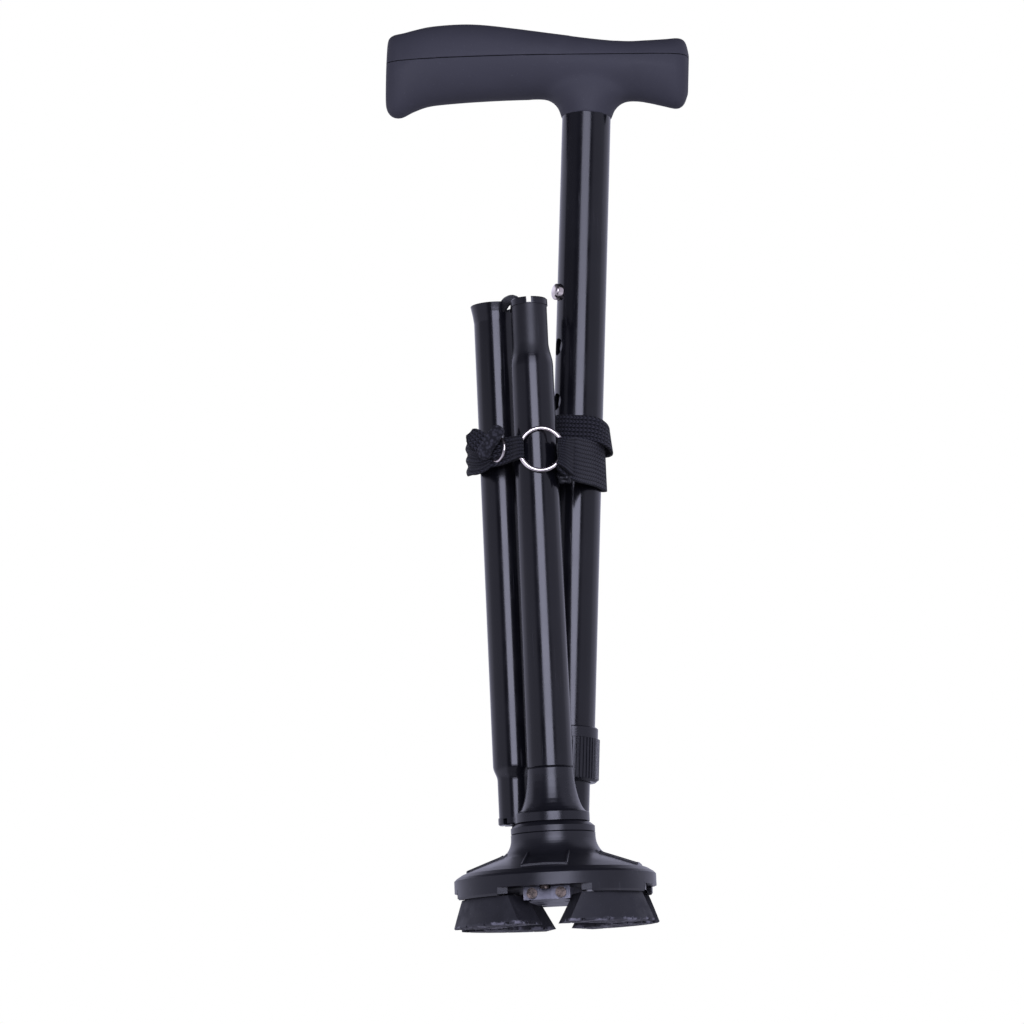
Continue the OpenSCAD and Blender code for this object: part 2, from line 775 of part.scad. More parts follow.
// Second fold
module cord_bend_bottom() {
    start = [middle_x, middle_y];
    end = [upper_x, upper_y];
    color(cord_black) cord_sweep([for (p = bend_bottom) let (q = start + p[0] * (end - start))
        [q[0], q[1], middle_tip - p[1]]]);
}

// Sliding inner tube

module inner_tube() {
    color(tube_black) upper_frame() difference() {
        sleeve(inner_r - tube_wall, inner_r, 0, inner_len);
        button_frame() rotate([0, 90, 0]) cylinder(d = button_d + free, h = upper_od);
    }
}

// Plastic bush that closes the inner tube and guides it in the upper tube
module inner_bush() {
    color(shell_black) upper_frame() difference() {
        union() {
            translate([0, 0, inner_len - bush_plug])
                cylinder(r = inner_r - tube_wall - running, h = bush_plug);
            translate([0, 0, inner_len]) cylinder(r = upper_r - upper_wall - running, h = bush_cap);
        }
        translate([0, 0, inner_len - bush_plug - over])
            cylinder(r = inner_r - tube_wall - bush_wall, h = bush_plug + bush_cap + 2 * over);
    }
}

module cord_upper() {
    start = free - bend_bottom[len(bend_bottom) - 1][1];
    color(cord_black) upper_frame() cord_run(start, anchor_z + anchor_crimp);
}

module cord_anchor_upper() {
    color(metal) upper_frame() translate([0, 0, anchor_z]) cord_anchor(inner_r - tube_wall - slip);
}

// Bent strip that pushes the snap button out, with its two arms along the tube's wall
module button_spring() {
    near = button_in - slip - spring_t;
    far = spring_back;
    bend_r = (near + spring_t + far) / 2;
    bend_x = near + spring_t - bend_r;
    color(metal) upper_frame() button_frame() {
        translate([near, -spring_w / 2, -spring_len]) cube([spring_t, spring_w, spring_len + button_d / 2]);
        translate([-far, -spring_w / 2, -spring_len]) cube([spring_t, spring_w, spring_len + button_d / 2]);
        intersection() {
            translate([bend_x, spring_w / 2, -spring_len]) rotate([90, 0, 0]) difference() {
                cylinder(r = bend_r, h = spring_w);
                translate([0, 0, -over]) cylinder(r = bend_r - spring_t, h = spring_w + 2 * over);
            }
            translate([-far - over, -spring_w, -spring_len - 2 * bend_r])
                cube([2 * (bend_r + over), 2 * spring_w, 2 * bend_r]);
        }
    }
}

module snap_button() {
    tip = upper_r + button_out;
    lip_r = button_d / 2 + button_lip;
    dome = [for (i = [0:curve_steps]) let (a = 90 * i / curve_steps)
        [button_d / 2 * cos(a), tip - button_round + button_round * sin(a)]];
    color(metal) upper_frame() button_frame() rotate([0, 90, 0]) rotate_extrude()
        polygon(concat([[0, button_in], [lip_r, button_in], [lip_r, button_in + button_head],
            [button_d / 2, button_in + button_head]], dome));
}

// Upper section

module upper_tube() {
    color(tube_black) upper_frame() difference() {
        sleeve(upper_r - upper_wall, upper_r, tube_seat, upper_top);
        for (i = [0:hole_count - 1]) translate([0, 0, -i * hole_pitch]) button_frame()
            rotate([0, 90, 0]) cylinder(d = button_d + free, h = upper_od);
    }
}

// Slotted collet on the end of the upper tube, which the nut closes on the inner tube
module collet() {
    color(shell_black) upper_frame() difference() {
        union() {
            sleeve(inner_r + running, thread_r, nut_rise + nut_lip + slip, tube_seat);
            sleeve(upper_r + press, thread_r, tube_seat, nut_top);
        }
        for (i = [0:collet_slots - 1]) rotate([0, 0, 360 * i / collet_slots])
            translate([0, -collet_slot_w / 2, 0]) cube([nut_od, collet_slot_w, tube_seat - over]);
    }
}

module collar_ring() {
    in_r = upper_r + press;
    out_r = collar_od / 2;
    color(shell_black) upper_frame() rotate_extrude() polygon([[in_r, collar_z], [out_r, collar_z],
        [out_r, collar_top - edge], [out_r - edge, collar_top], [in_r, collar_top]]);
}

module lock_nut() {
    r = nut_od / 2;
    step = 360 / nut_ribs;
    depths = [0, 0, rib_depth, rib_depth];
    ribbed = [for (i = [0:nut_ribs - 1], k = [0:3])
        let (a = (i + rib_share[k]) * step) (r - depths[k]) * [cos(a), sin(a)]];
    color(shell_black) upper_frame() difference() {
        intersection() {
            translate([0, 0, nut_rise]) linear_extrude(nut_h) polygon(ribbed);
            rotate_extrude() polygon([[0, nut_rise], [r - nut_chamfer, nut_rise],
                [r + slip, nut_rise + nut_chamfer], [r + slip, nut_top], [0, nut_top]]);
        }
        translate([0, 0, nut_rise + nut_lip]) cylinder(r = thread_r + running, h = nut_h);
        translate([0, 0, nut_rise - over]) cylinder(r = inner_r + free, h = nut_h);
    }
}

// Handle

// The whole handle as one lofted form, over the neck
module handle_blank() {
    rows = smooth_rows(concat([for (row = nose_rows) [row[0] * nose_len, row[1], row[2], row[3]]],
        [for (row = tail_rows) [row[0] * tail_len, row[1], row[2], row[3]]]), handle_steps);
    rings = [for (row = rows) handle_ring(row)];
    translate([0, 0, neck_z])
        polyhedron([for (ring = rings, p = ring) p], skin_faces(len(rings), handle_sides));
}

// Everything above the seam between pad and body
module above_seam() {
    far = 2 * nose_len;
    translate([0, 0, neck_z + seam_share * handle_h]) rotate([0, -seam_tilt, 0])
        translate([-far, -far / 2, 0]) cube([2 * far, far, far / 2]);
}

module handle_body() {
    neck = [for (p = neck_rows, k = [0:neck_sides - 1]) let (a = 360 * k / neck_sides)
        [(upper_r + p[0]) * cos(a), (upper_r + p[1]) * sin(a), neck_z + handle_h * p[2]]];
    color(soft_grey) upper_frame() difference() {
        union() {
            difference() {
                handle_blank();
                above_seam();
            }
            polyhedron(neck, skin_faces(len(neck_rows), neck_sides));
        }
        cylinder(r = upper_r + press, h = upper_top + slip);
    }
}

module handle_pad() {
    color(soft_grey) upper_frame() intersection() {
        handle_blank();
        above_seam();
    }
}

// Strap

// Place of the upper section's axis at the strap's height
strap_up = strap_z - inner_end_z;
strap_a = [upper_x, upper_y] + strap_up * tan(lean) * [cos(upper_dir), sin(upper_dir)];
lower_r_at_strap = lower_od / 2 - (lower_od - lower_top_od) / 2 * (strap_z - loop_h - bell_top) / lower_len;

// Two turns of webbing round the upper tube, the lower one over the upper one
module strap_wrap() {
    mid = strap_up / cos(lean);
    color(strap_black) upper_frame() {
        sleeve(wrap_in, wrap_in + strap_t, mid, mid + strap_w);
        sleeve(wrap_mid, wrap_out, mid - strap_w + wrap_lap, mid + wrap_lap);
    }
}

// Plan of the bundle at the strap, with some room all round
module bundle_plan(room) {
    hull() {
        circle(r = lower_r_at_strap + room);
        translate([middle_x, middle_y]) circle(r = middle_od / 2 + room);
        translate(strap_a) circle(r = wrap_out + room);
    }
}

// Webbing round the bundle, whose two ends meet behind the ring
module strap_loop() {
    window = strap_ring_d - 2 * ring_wire;
    color(strap_black) translate([0, 0, strap_z - loop_h / 2]) linear_extrude(loop_h) difference() {
        bundle_plan(strap_room + strap_t);
        bundle_plan(strap_room);
        translate([ring_side - window / 2, -lower_od]) square([window, lower_od]);
    }
}

// Puts its children on the strap's left side, facing out along their own -Y
module on_left_side(lift) {
    half = middle_dist / 2;
    out = max(lower_r_at_strap, middle_od / 2) + strap_room + strap_t + lift;
    translate([0, 0, strap_z + tab_rise]) rotate([0, 0, middle_dir - 180])
        translate([-half, -out, 0]) children();
}

module strap_tab() {
    color(strap_black) on_left_side(slip) translate([-tab_size[0] / 2, -tab_size[1], -tab_size[2] / 4])
        cube(tab_size);
}

// Wire ring of an outside diameter, standing on its edge and facing the front
module wire_ring(d) {
    rotate([90, 0, 0]) rotate_extrude() translate([(d - ring_wire) / 2, 0]) circle(d = ring_wire, $fn = 24);
}

module strap_ring() {
    out = lower_r_at_strap + free + ring_wire / 2;
    color(metal) translate([ring_side, -out, strap_z + over]) wire_ring(strap_ring_d);
}

module strap_keeper() {
    color(metal) on_left_side(tab_size[1] + 2 * slip + ring_wire / 2) wire_ring(keeper_d);
}

base_shell();
pivot_ring();
retainer_block();
retainer_screws();
foot_front_left();
foot_front_right();
foot_rear_left();
foot_rear_right();
ball_liner();
ball_stud();
pivot_bell();
lower_tube();
lower_ferrule();
cord_anchor_lower();
cord_lower();
cord_bend_top();
middle_tube();
middle_ferrule();
cord_middle();
cord_bend_bottom();
inner_tube();
inner_bush();
cord_upper();
cord_anchor_upper();
button_spring();
snap_button();
upper_tube();
collet();
collar_ring();
lock_nut();
handle_body();
handle_pad();
strap_wrap();
strap_loop();
strap_tab();
strap_ring();
strap_keeper();
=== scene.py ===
import json
import math
import bmesh
import bpy
from mathutils import Matrix, Vector


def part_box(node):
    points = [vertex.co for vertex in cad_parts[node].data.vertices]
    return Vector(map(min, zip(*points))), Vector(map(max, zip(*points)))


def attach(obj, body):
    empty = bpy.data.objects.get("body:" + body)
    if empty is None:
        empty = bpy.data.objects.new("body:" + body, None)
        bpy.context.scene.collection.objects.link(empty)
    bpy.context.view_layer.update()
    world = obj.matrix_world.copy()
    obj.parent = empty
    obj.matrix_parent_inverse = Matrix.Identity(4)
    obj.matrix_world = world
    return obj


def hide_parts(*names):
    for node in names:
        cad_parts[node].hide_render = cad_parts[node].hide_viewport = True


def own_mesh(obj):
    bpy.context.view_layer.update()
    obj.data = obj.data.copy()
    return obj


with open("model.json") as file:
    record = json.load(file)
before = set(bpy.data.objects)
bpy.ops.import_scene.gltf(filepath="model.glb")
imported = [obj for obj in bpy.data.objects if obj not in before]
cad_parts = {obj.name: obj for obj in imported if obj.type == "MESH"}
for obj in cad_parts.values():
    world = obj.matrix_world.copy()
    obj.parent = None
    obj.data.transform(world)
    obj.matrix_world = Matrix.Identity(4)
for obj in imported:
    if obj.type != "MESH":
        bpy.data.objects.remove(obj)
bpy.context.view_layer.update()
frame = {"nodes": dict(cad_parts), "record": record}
cad = frame["nodes"]
joints = {joint["name"]: joint for joint in frame["record"]["behaviour"]["joints"]}
scene = bpy.context.scene

# One millimetre in the frame's metres
MM = 0.001
UP = Vector((0, 0, 1))

# Camera at the photograph's place: below the middle of the bundle, slightly turned and rolled
VIEW_TURN = math.radians(-1.87)
VIEW_RISE = math.radians(-9.27)
VIEW_ROLL = math.radians(-2.52)
VIEW_DISTANCE = 1.6
VIEW_TARGET = Vector((-0.0117, 0, 0.1824))
VIEW_LENS = 127.6
SENSOR_W = 36
VIEW_FAR = 20

# Softbox in front of the cane, a little to the right of the camera, as panels of one wall:
# middle in X and Z, width, height and radiance
SOFTBOX_Y = -1.8
SOFTBOX_PANELS = [(0.19, 0.36, 1.18, 0.72, 5.4), (0.06, 0.36, 0.8, 0.72, 3.2),
                  (0.19, 1.08, 1.18, 0.72, 3.5), (0.1, 1.08, 0.8, 0.72, 1.1)]
SOFTBOX_TINT = (0.91, 0.92, 1.2)
ROOM_TINT = (0.87, 0.87, 1.13)
# The room as the cane mirrors it: the stretch of a direction over which each light changes, and its levels
BACKDROP_SIDE = (-0.2, 0.3, 0.0, 1.0)
BACKDROP_TOP = (0.46, 0.66, 1.0, 0.0)
BACKDROP_FOOT = (-0.4, -0.08, 0.2, 1.0)
BACKDROP_RISE = (0.16, 0.36, 0.78, 1.0)
LEFT_WALL = (-0.45, -0.7, 0.0, 0.52)
LEFT_WALL_TOP = (0.16, 0.27, 1.0, 0.25)
RIGHT_WALL = (0.45, 0.7, 0.0, 0.5)
FLOOR_BOUNCE = (-0.1, -0.5, 0.0, 0.32)
ROOM_LEVEL = 0.05
# Floor: half its side, how far it lies below the soles, and its glow to the camera
FLOOR_HALF = 9
FLOOR_DROP = 0.2 * MM
FLOOR_GLOW = 0.6

# Axes of the three folded sections
LOWER_AXIS = Vector((0, 0, 0))
MIDDLE_AXIS = sum(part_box("middle_tube"), Vector()) / 2
UPPER_FOOT = Vector(joints["nut_twist"]["pos_m"])
UPPER_AXIS = Vector(joints["nut_twist"]["axis"])
UPPER_TUBE_R = 11.1 * MM

# Handle, in the upper section's own directions: X to the tail, Y to the back, Z up the tube
HANDLE_NECK_RISE = 323.5 * MM
NOSE_LEN = 92.4 * MM
TAIL_LEN = 46.3 * MM
HANDLE_H = 42.6 * MM
HANDLE_HALF_W = 17 * MM
# Stations: share of nose or tail, shares of the height for top and bottom, share of half width
NOSE_STATIONS = [(-1, 0.769, 0.149, 0.3), (-0.993, 0.844, 0.055, 0.55), (-0.965, 0.883, -0.015, 0.72),
                 (-0.92, 0.903, -0.022, 0.8), (-0.86, 0.938, 0.05, 0.86), (-0.78, 0.975, 0.117, 0.92),
                 (-0.65, 1, 0.156, 0.98), (-0.53, 0.998, 0.181, 1), (-0.37, 0.963, 0.206, 1),
                 (-0.17, 0.913, 0.223, 0.96)]
TAIL_STATIONS = [(0.06, 0.866, 0.221, 0.92), (0.36, 0.846, 0.216, 0.88), (0.57, 0.861, 0.206, 0.85),
                 (0.77, 0.883, 0.161, 0.8), (0.89, 0.898, 0.136, 0.74), (0.96, 0.859, 0.179, 0.6),
                 (1, 0.72, 0.298, 0.3)]
HANDLE_SQUARE = 2.5
SEAM_SHARE = 0.612
SEAM_TILT = math.radians(2.6)
SEAM_GAP = 0.36 * MM
HANDLE_TUCK = 0.32
# Neck: millimetres that it stands out from the tube along and across the handle, and its share of the height
NECK_ROWS = [(0.35, 0.35, 0), (1.1, 0.7, 0.06), (2.7, 1, 0.135), (6, 1.2, 0.205), (8.6, 1.4, 0.232),
             (8.6, 1.4, 0.3), (5, 1.2, 0.4), (0, 0, 0.5)]
# Skin over loft and neck, and the smoothing of it
HANDLE_COLUMNS = 64
HANDLE_STEPS = 6
HANDLE_VOXEL = 0.6 * MM
SOFTEN_FACTOR = 0.5
SOFTEN_STEPS = 14
# Blend of the neck: reach, rounds, and shares of the handle's height for its middle and its lower end
NECK_BLEND_R = 27 * MM
NECK_BLEND_STEPS = 60
NECK_BLEND_MIDDLE = 0.3
NECK_BLEND_FROM = 0.07
# Faces with as many corners as this are the flat caps along the seam
CAP_CORNERS = 12

# Bare panels on the cone: half width, distances from the middle, share of the width at the top
BASE_TURN = math.radians(-5.5)
PANEL_HALF = 9.5 * MM
PANEL_LOW = 36.8 * MM
PANEL_HIGH = 21 * MM
PANEL_NARROW = 0.92
# Bead on the panel's bars: radius, share of it that is sunk, steps along a bar, and columns
PANEL_BEAD_R = 0.62 * MM
PANEL_BEAD_SINK = 0.3
PANEL_BEAD_STEPS = 12
PANEL_BEAD_COLUMNS = 12
# A height above the base, from which the cone is felt
ABOVE_BASE = 0.2

# Where the lower tube is rubbed dull, over what length the gloss fades, and a height above the whole cane
RUBBED_FROM = 250 * MM
DULL_FADE = 4 * MM
ABOVE_ALL = 1.0

# Wavy grooves and ragged wear of the soles
TREAD_PITCH = 4.2 * MM
WEAR_RISE = 3.2 * MM

# Strap and its rings
WEB_T = 1.2 * MM
BIGHT_T = 1.5 * MM
WEB_ROUND = 0.35
RIB_PITCH = 1.9 * MM
THREAD_PITCH = 1.7 * MM
PLEATS = 3
# Turn round the handle tube, in millimetres: first angle and step, stations, radius, how far it stands off
# on the right and in front, height, drop to the right and to the back, lean and width
TURN_FROM, TURN_STEP = math.radians(-200), math.radians(15)
TURN_STATIONS = 25
TURN_R, TURN_OFF_RIGHT, TURN_OFF_FRONT = 12.2, 2.4, 0.5
TURN_RISE, TURN_DROP_RIGHT, TURN_DROP_BACK = 220.2, 2.7, 1.9
TURN_LEAN = 0.1
TURN_W = 11.8
# Melted end: middle, half sizes, and its lumps as height and waves along X, Y and Z
MELTED_CENTRE = Vector((12.4, -7.6, 195.6)) * MM
MELTED_HALF = (3.0, 1.5, 3.1)
MELTED_LUMPS = [(0.12, (5, 0, 2)), (0.1, (0, -3, 7))]
# Matted end: size, middle, turns, roundings, bend, and depth and pace of its waist
TAB_SIZE = Vector((6.6, 3.6, 17)) * MM
TAB_CENTRE = Vector((-20.0, -4.6, 213.2)) * MM
TAB_TURN, TAB_SLANT = math.radians(-30), math.radians(40)
TAB_CORNER_R, TAB_EDGE_R = 2.7 * MM, 1.1 * MM
TAB_LONG_EDGE = 3 * MM
TAB_CUTS = 6
TAB_BEND = 17.5
TAB_WAIST, TAB_WAIST_PACE = 0.1, 0.9 / MM
# Strap's ring and its small keeper: middle, radius and wire, the keeper's facing, and the columns and steps of
# a wire ring
RING_CENTRE = Vector((2.6, -10.65, 208)) * MM
RING_R = 9.4 * MM
RING_WIRE = 0.95 * MM
KEEPER_CENTRE = Vector((-16.8, -2.6, 210.2)) * MM
KEEPER_FACE = Vector((-0.78, -0.62, 0.06))
KEEPER_R = 5.2 * MM
KEEPER_WIRE = 0.7 * MM
WIRE_COLUMNS = 20
WIRE_STEPS = 96

# Elastic cord
CORD_R = 2.2 * MM
CORD_COLUMNS = 20
CORD_STRANDS = 8.0
CORD_LAY = 5.2 * MM
CORD_FOOT_GAP = 0.2 * MM
RUN_PARTS = 4


def smooth_rows(rows, steps):
    """Rows of numbers on a smooth curve through the given rows."""
    fine = []
    last = len(rows) - 1
    for i in range(last):
        a, b, c, d = (rows[min(last, max(0, i + k))] for k in (-1, 0, 1, 2))
        for k in range(steps):
            t = k / steps
            fine.append([q + t / 2 * (r - p + t * (2 * p - 5 * q + 4 * r - s + t * (3 * (q - r) + s - p)))
                         for p, q, r, s in zip(a, b, c, d)])
    fine.append(list(rows[last]))
    return fine


def piece_from(name, bm, material):
    """A new object from a finished bmesh, with its place in its mesh."""
    mesh = bpy.data.meshes.new(name)
    bm.to_mesh(mesh)
    bm.free()
    for face in mesh.polygons:
        face.use_smooth = True
    piece = bpy.data.objects.new(name, mesh)
    bpy.context.collection.objects.link(piece)
    mesh.materials.append(material)
    return piece


def grid_form(columns, rows, place, size, closed=False):
    """A grid laid on a surface: place gives the point at shares across and along, and size the UV scale."""
    bm = bmesh.new()
    bmesh.ops.create_grid(bm, x_segments=columns, y_segments=rows, size=0.5)
    uv = bm.loops.layers.uv.new("UVMap")
    shares = {v: (v.co.x + 0.5, v.co.y + 0.5) for v in bm.verts}
    for face in bm.faces:
        for loop in face.loops:
            u, v = shares[loop.vert]
            loop[uv].uv = (u * size[0], v * size[1])
    for v, (across, along) in shares.items():
        v.co = place(across, along)
    if closed:
        bmesh.ops.remove_doubles(bm, verts=bm.verts, dist=0.01 * MM)
    bmesh.ops.recalc_face_normals(bm, faces=bm.faces)
    return bm


def bake_modifiers(piece):
    """Replaces a piece's mesh by what its modifiers make of it."""
    depsgraph = bpy.context.evaluated_depsgraph_get()
    mesh = bpy.data.meshes.new_from_object(piece.evaluated_get(depsgraph))
    piece.modifiers.clear()
    piece.data = mesh


# Shader nodes

# Places of a colour mix among the sockets of its node
MIX_FACTOR, MIX_FIRST, MIX_SECOND, MIX_COLOUR = 0, 6, 7, 2


def add_node(tree, kind, inputs=(), **settings):
    """A shader node with its settings, and with its inputs linked or set."""
    node = tree.nodes.new("ShaderNode" + kind)
    for key, value in settings.items():
        setattr(node, key, value)
    for key, value in dict(inputs).items():
        if isinstance(value, bpy.types.NodeSocket):
            tree.links.new(value, node.inputs[key])
        else:
            node.inputs[key].default_value = value
    return node


def math_node(tree, operation, a, b=0.0):
    return add_node(tree, "Math", {0: a, 1: b}, operation=operation).outputs[0]


def times(tree, a, b):
    return math_node(tree, "MULTIPLY", a, b)


def plus(tree, a, b):
    return math_node(tree, "ADD", a, b)


def spread(tree, value, low, high, to_low=0.0, to_high=1.0):
    """Maps a stretch of values smoothly to another."""
    node = add_node(tree, "MapRange", {"Value": value, "From Min": low, "From Max": high, "To Min": to_low,
                                       "To Max": to_high}, interpolation_type="SMOOTHSTEP")
    return node.outputs["Result"]


def blend_colours(tree, factor, first, second):
    """A mix of two colours, each an output or its red, green and blue."""
    first, second = ((*colour, 1) if isinstance(colour, tuple) else colour for colour in (first, second))
    node = add_node(tree, "Mix", {MIX_FACTOR: factor, MIX_FIRST: first, MIX_SECOND: second}, data_type="RGBA")
    return node.outputs[MIX_COLOUR]


def new_group(name, inputs, outputs):
    """An empty shader group with named sockets, and its inner ends."""
    group = bpy.data.node_groups.new(name, "ShaderNodeTree")
    for socket, kind, value in inputs:
        made = group.interface.new_socket(socket, in_out="INPUT", socket_type="NodeSocket" + kind)
        if value is not None:
            made.default_value = value
    for socket in outputs:
        group.interface.new_socket(socket, in_out="OUTPUT", socket_type="NodeSocketFloat")
    return group, group.nodes.new("NodeGroupInput").outputs, group.nodes.new("NodeGroupOutput").inputs


def make_grain_group():
    """Fine grain of a moulded or coated surface, and slow blotches over it."""
    inputs = [("Vector", "Vector", None), ("Grain Scale", "Float", 2500.0), ("Blotch Scale", "Float", 60.0)]
    group, given, made = new_group("moulded_grain", inputs, ["Grain", "Blotch"])
    grain = add_node(group, "TexNoise", {"Vector": given["Vector"], "Scale": given["Grain Scale"],
                                         "Detail": 3.0, "Roughness": 0.6})
    blotch = add_node(group, "TexNoise", {"Vector": given["Vector"], "Scale": given["Blotch Scale"],
                                          "Detail": 4.0, "Roughness": 0.55})
    group.links.new(grain.outputs["Fac"], made["Grain"])
    group.links.new(spread(group, blotch.outputs["Fac"], 0.3, 0.7), made["Blotch"])
    return group


def make_scuff_group():
    """Thin handling marks drawn out along Z, and a light bloom of dust."""
    inputs = [("Vector", "Vector", None), ("Stretch", "Float", 0.03), ("Scale", "Float", 900.0)]
    group, given, made = new_group("handling_marks", inputs, ["Scratch", "Dust"])
    squeeze = add_node(group, "CombineXYZ", {0: 1.0, 1: 1.0, 2: given["Stretch"]})
    drawn = add_node(group, "VectorMath", {0: given["Vector"], 1: squeeze.outputs[0]}, operation="MULTIPLY")
    lines = add_node(group, "TexNoise", {"Vector": drawn.outputs[0], "Scale": given["Scale"], "Detail": 2.0})
    patches = add_node(group, "TexNoise", {"Vector": given["Vector"], "Scale": 45.0, "Detail": 2.0})
    scratch = times(group, spread(group, lines.outputs["Fac"], 0.62, 0.74),
                    spread(group, patches.outputs["Fac"], 0.45, 0.62))
    dust = add_node(group, "TexNoise", {"Vector": given["Vector"], "Scale": 1400.0, "Detail": 1.0})
    group.links.new(scratch, made["Scratch"])
    group.links.new(spread(group, dust.outputs["Fac"], 0.68, 0.78), made["Dust"])
    return group


def make_webbing_group():
    """Lengthwise ribs of woven webbing, with slanted threads that turn over at each rib, and a mask of the
    furrows for painted shade.
    """
    inputs = [("UV", "Vector", None), ("Rib Pitch", "Float", RIB_PITCH),
              ("Thread Pitch", "Float", THREAD_PITCH)]
    group, given, made = new_group("webbing_weave", inputs, ["Height", "Furrow Shade", "Thread"])
    parts = add_node(group, "SeparateXYZ", {0: given["UV"]})
    rib_turn = math_node(group, "DIVIDE", parts.outputs[0], given["Rib Pitch"])
    rib_share = math_node(group, "FRACT", rib_turn)
    from_middle = math_node(group, "ABSOLUTE", math_node(group, "SUBTRACT", rib_share, 0.5))
    fall = math_node(group, "POWER", times(group, from_middle, 2.0), 2.2)
    crown = math_node(group, "SUBTRACT", 1.0, fall)
    slant = times(group, from_middle, 1.7)
    thread_turn = plus(group, math_node(group, "DIVIDE", parts.outputs[1], given["Thread Pitch"]), slant)
    thread = math_node(group, "SINE", times(group, thread_turn, 2 * math.pi))
    thread_up = math_node(group, "MULTIPLY_ADD", thread, 0.5)
    thread_up.node.inputs[2].default_value = 0.5
    fuzz = add_node(group, "TexNoise", {"Vector": given["UV"], "Scale": 3200.0, "Detail": 2.0})
    height = plus(group, crown, times(group, thread_up, 0.35))
    height = plus(group, height, times(group, fuzz.outputs["Fac"], 0.3))
    group.links.new(height, made["Height"])
    # mask of the furrows between the ribs, for painted shade
    group.links.new(spread(group, crown, 0.1, 0.85, 1.0, 0.0), made["Furrow Shade"])
    group.links.new(thread_up, made["Thread"])
    return group


def make_braid_group():
    """Strands of a braided elastic cord that cross each other, from a UV of turns round and length along, and a
    mask of the furrows between them for painted shade.
    """
    inputs = [("UV", "Vector", None), ("Strands", "Float", CORD_STRANDS), ("Lay", "Float", CORD_LAY)]
    group, given, made = new_group("cord_braid", inputs, ["Height", "Furrow Shade"])
    parts = add_node(group, "SeparateXYZ", {0: given["UV"]})
    round_turn = times(group, parts.outputs[0], given["Strands"])
    along_turn = times(group, math_node(group, "DIVIDE", parts.outputs[1], given["Lay"]), given["Strands"])
    left = math_node(group, "SINE", times(group, plus(group, round_turn, along_turn), math.pi))
    right = math_node(group, "SINE",
                      times(group, math_node(group, "SUBTRACT", round_turn, along_turn), math.pi))
    height = math_node(group, "MAXIMUM", math_node(group, "ABSOLUTE", left),
                       math_node(group, "ABSOLUTE", right))
    group.links.new(height, made["Height"])
    # mask of the furrows between the strands, for painted shade
    group.links.new(spread(group, height, 0.5, 0.9, 1.0, 0.0), made["Furrow Shade"])
    return group


GRAIN = make_grain_group()
SCUFFS = make_scuff_group()
WEAVE = make_webbing_group()
BRAID = make_braid_group()
# Values between which the grain and the blotches move
REACH = {"Grain": (0.2, 0.8), "Blotch": (0.0, 1.0)}


def place_group(tree, group, inputs):
    return add_node(tree, "Group", inputs, node_tree=group).outputs


def grain_on(tree, at, grain_scale, blotch_scale):
    return place_group(tree, GRAIN, {"Vector": at["Object"], "Grain Scale": grain_scale,
                                     "Blotch Scale": blotch_scale})


def marks_on(tree, at, stretch, scale):
    return place_group(tree, SCUFFS, {"Vector": at["Object"], "Stretch": stretch, "Scale": scale})


def new_finish(name, **fixed):
    """A material with its shader's plain values set, its tree and its object coordinates."""
    material = bpy.data.materials.new(name)
    material.use_nodes = True
    tree = material.node_tree
    shader = tree.nodes["Principled BSDF"]
    for key, value in fixed.items():
        shader.inputs[key.replace("_", " ")].default_value = value
    return material, tree, shader, tree.nodes.new("ShaderNodeTexCoord").outputs


def set_colour(tree, shader, colour):
    tree.links.new(colour, shader.inputs["Base Color"])


def set_rough(tree, shader, rough):
    tree.links.new(rough, shader.inputs["Roughness"])


def set_bump(tree, shader, height, strength, distance):
    bump = add_node(tree, "Bump", {"Height": height, "Strength": strength, "Distance": distance})
    tree.links.new(bump.outputs["Normal"], shader.inputs["Normal"])


def gloss_tube_finish(name, dull_from=ABOVE_ALL):
    """Gloss black coated aluminium with faint marks along the tube, rubbed dull above a height."""
    material, tree, shader, at = new_finish(name, IOR=1.5)
    grain = grain_on(tree, at, 1500.0, 35.0)
    marks = marks_on(tree, at, 0.02, 1100.0)
    worn = blend_colours(tree, grain["Blotch"], (0.0036, 0.0036, 0.005), (0.0056, 0.0056, 0.0075))
    colour = blend_colours(tree, times(tree, marks["Scratch"], 0.3), worn, (0.04, 0.04, 0.046))
    colour = blend_colours(tree, times(tree, marks["Dust"], 0.08), colour, (0.09, 0.09, 0.1))
    set_colour(tree, shader, colour)
    rough = plus(tree, spread(tree, grain["Blotch"], *REACH["Blotch"], 0.15, 0.21),
                 times(tree, marks["Scratch"], 0.15))
    height = add_node(tree, "SeparateXYZ", {0: at["Object"]}).outputs[2]
    rough = plus(tree, rough, spread(tree, height, dull_from, dull_from + DULL_FADE, 0.0, 0.26))
    set_rough(tree, shader, rough)
    set_bump(tree, shader, grain["Grain"], 0.06, 0.02 * MM)
    return material


def satin_plastic_finish(name, rough_low, rough_high):
    """Satin black moulded plastic with a fine spark-eroded grain."""
    material, tree, shader, at = new_finish(name, IOR=1.5)
    grain = grain_on(tree, at, 3000.0, 50.0)
    marks = marks_on(tree, at, 0.3, 700.0)
    colour = blend_colours(tree, grain["Blotch"], (0.0062, 0.0062, 0.0082), (0.0095, 0.0095, 0.0122))
    colour = blend_colours(tree, times(tree, marks["Scratch"], 0.35), colour, (0.05, 0.05, 0.055))
    set_colour(tree, shader, colour)
    rough = plus(tree, spread(tree, grain["Blotch"], *REACH["Blotch"], rough_low, rough_high),
                 times(tree, grain["Grain"], 0.06))
    set_rough(tree, shader, rough)
    set_bump(tree, shader, grain["Grain"], 0.18, 0.03 * MM)
    return material


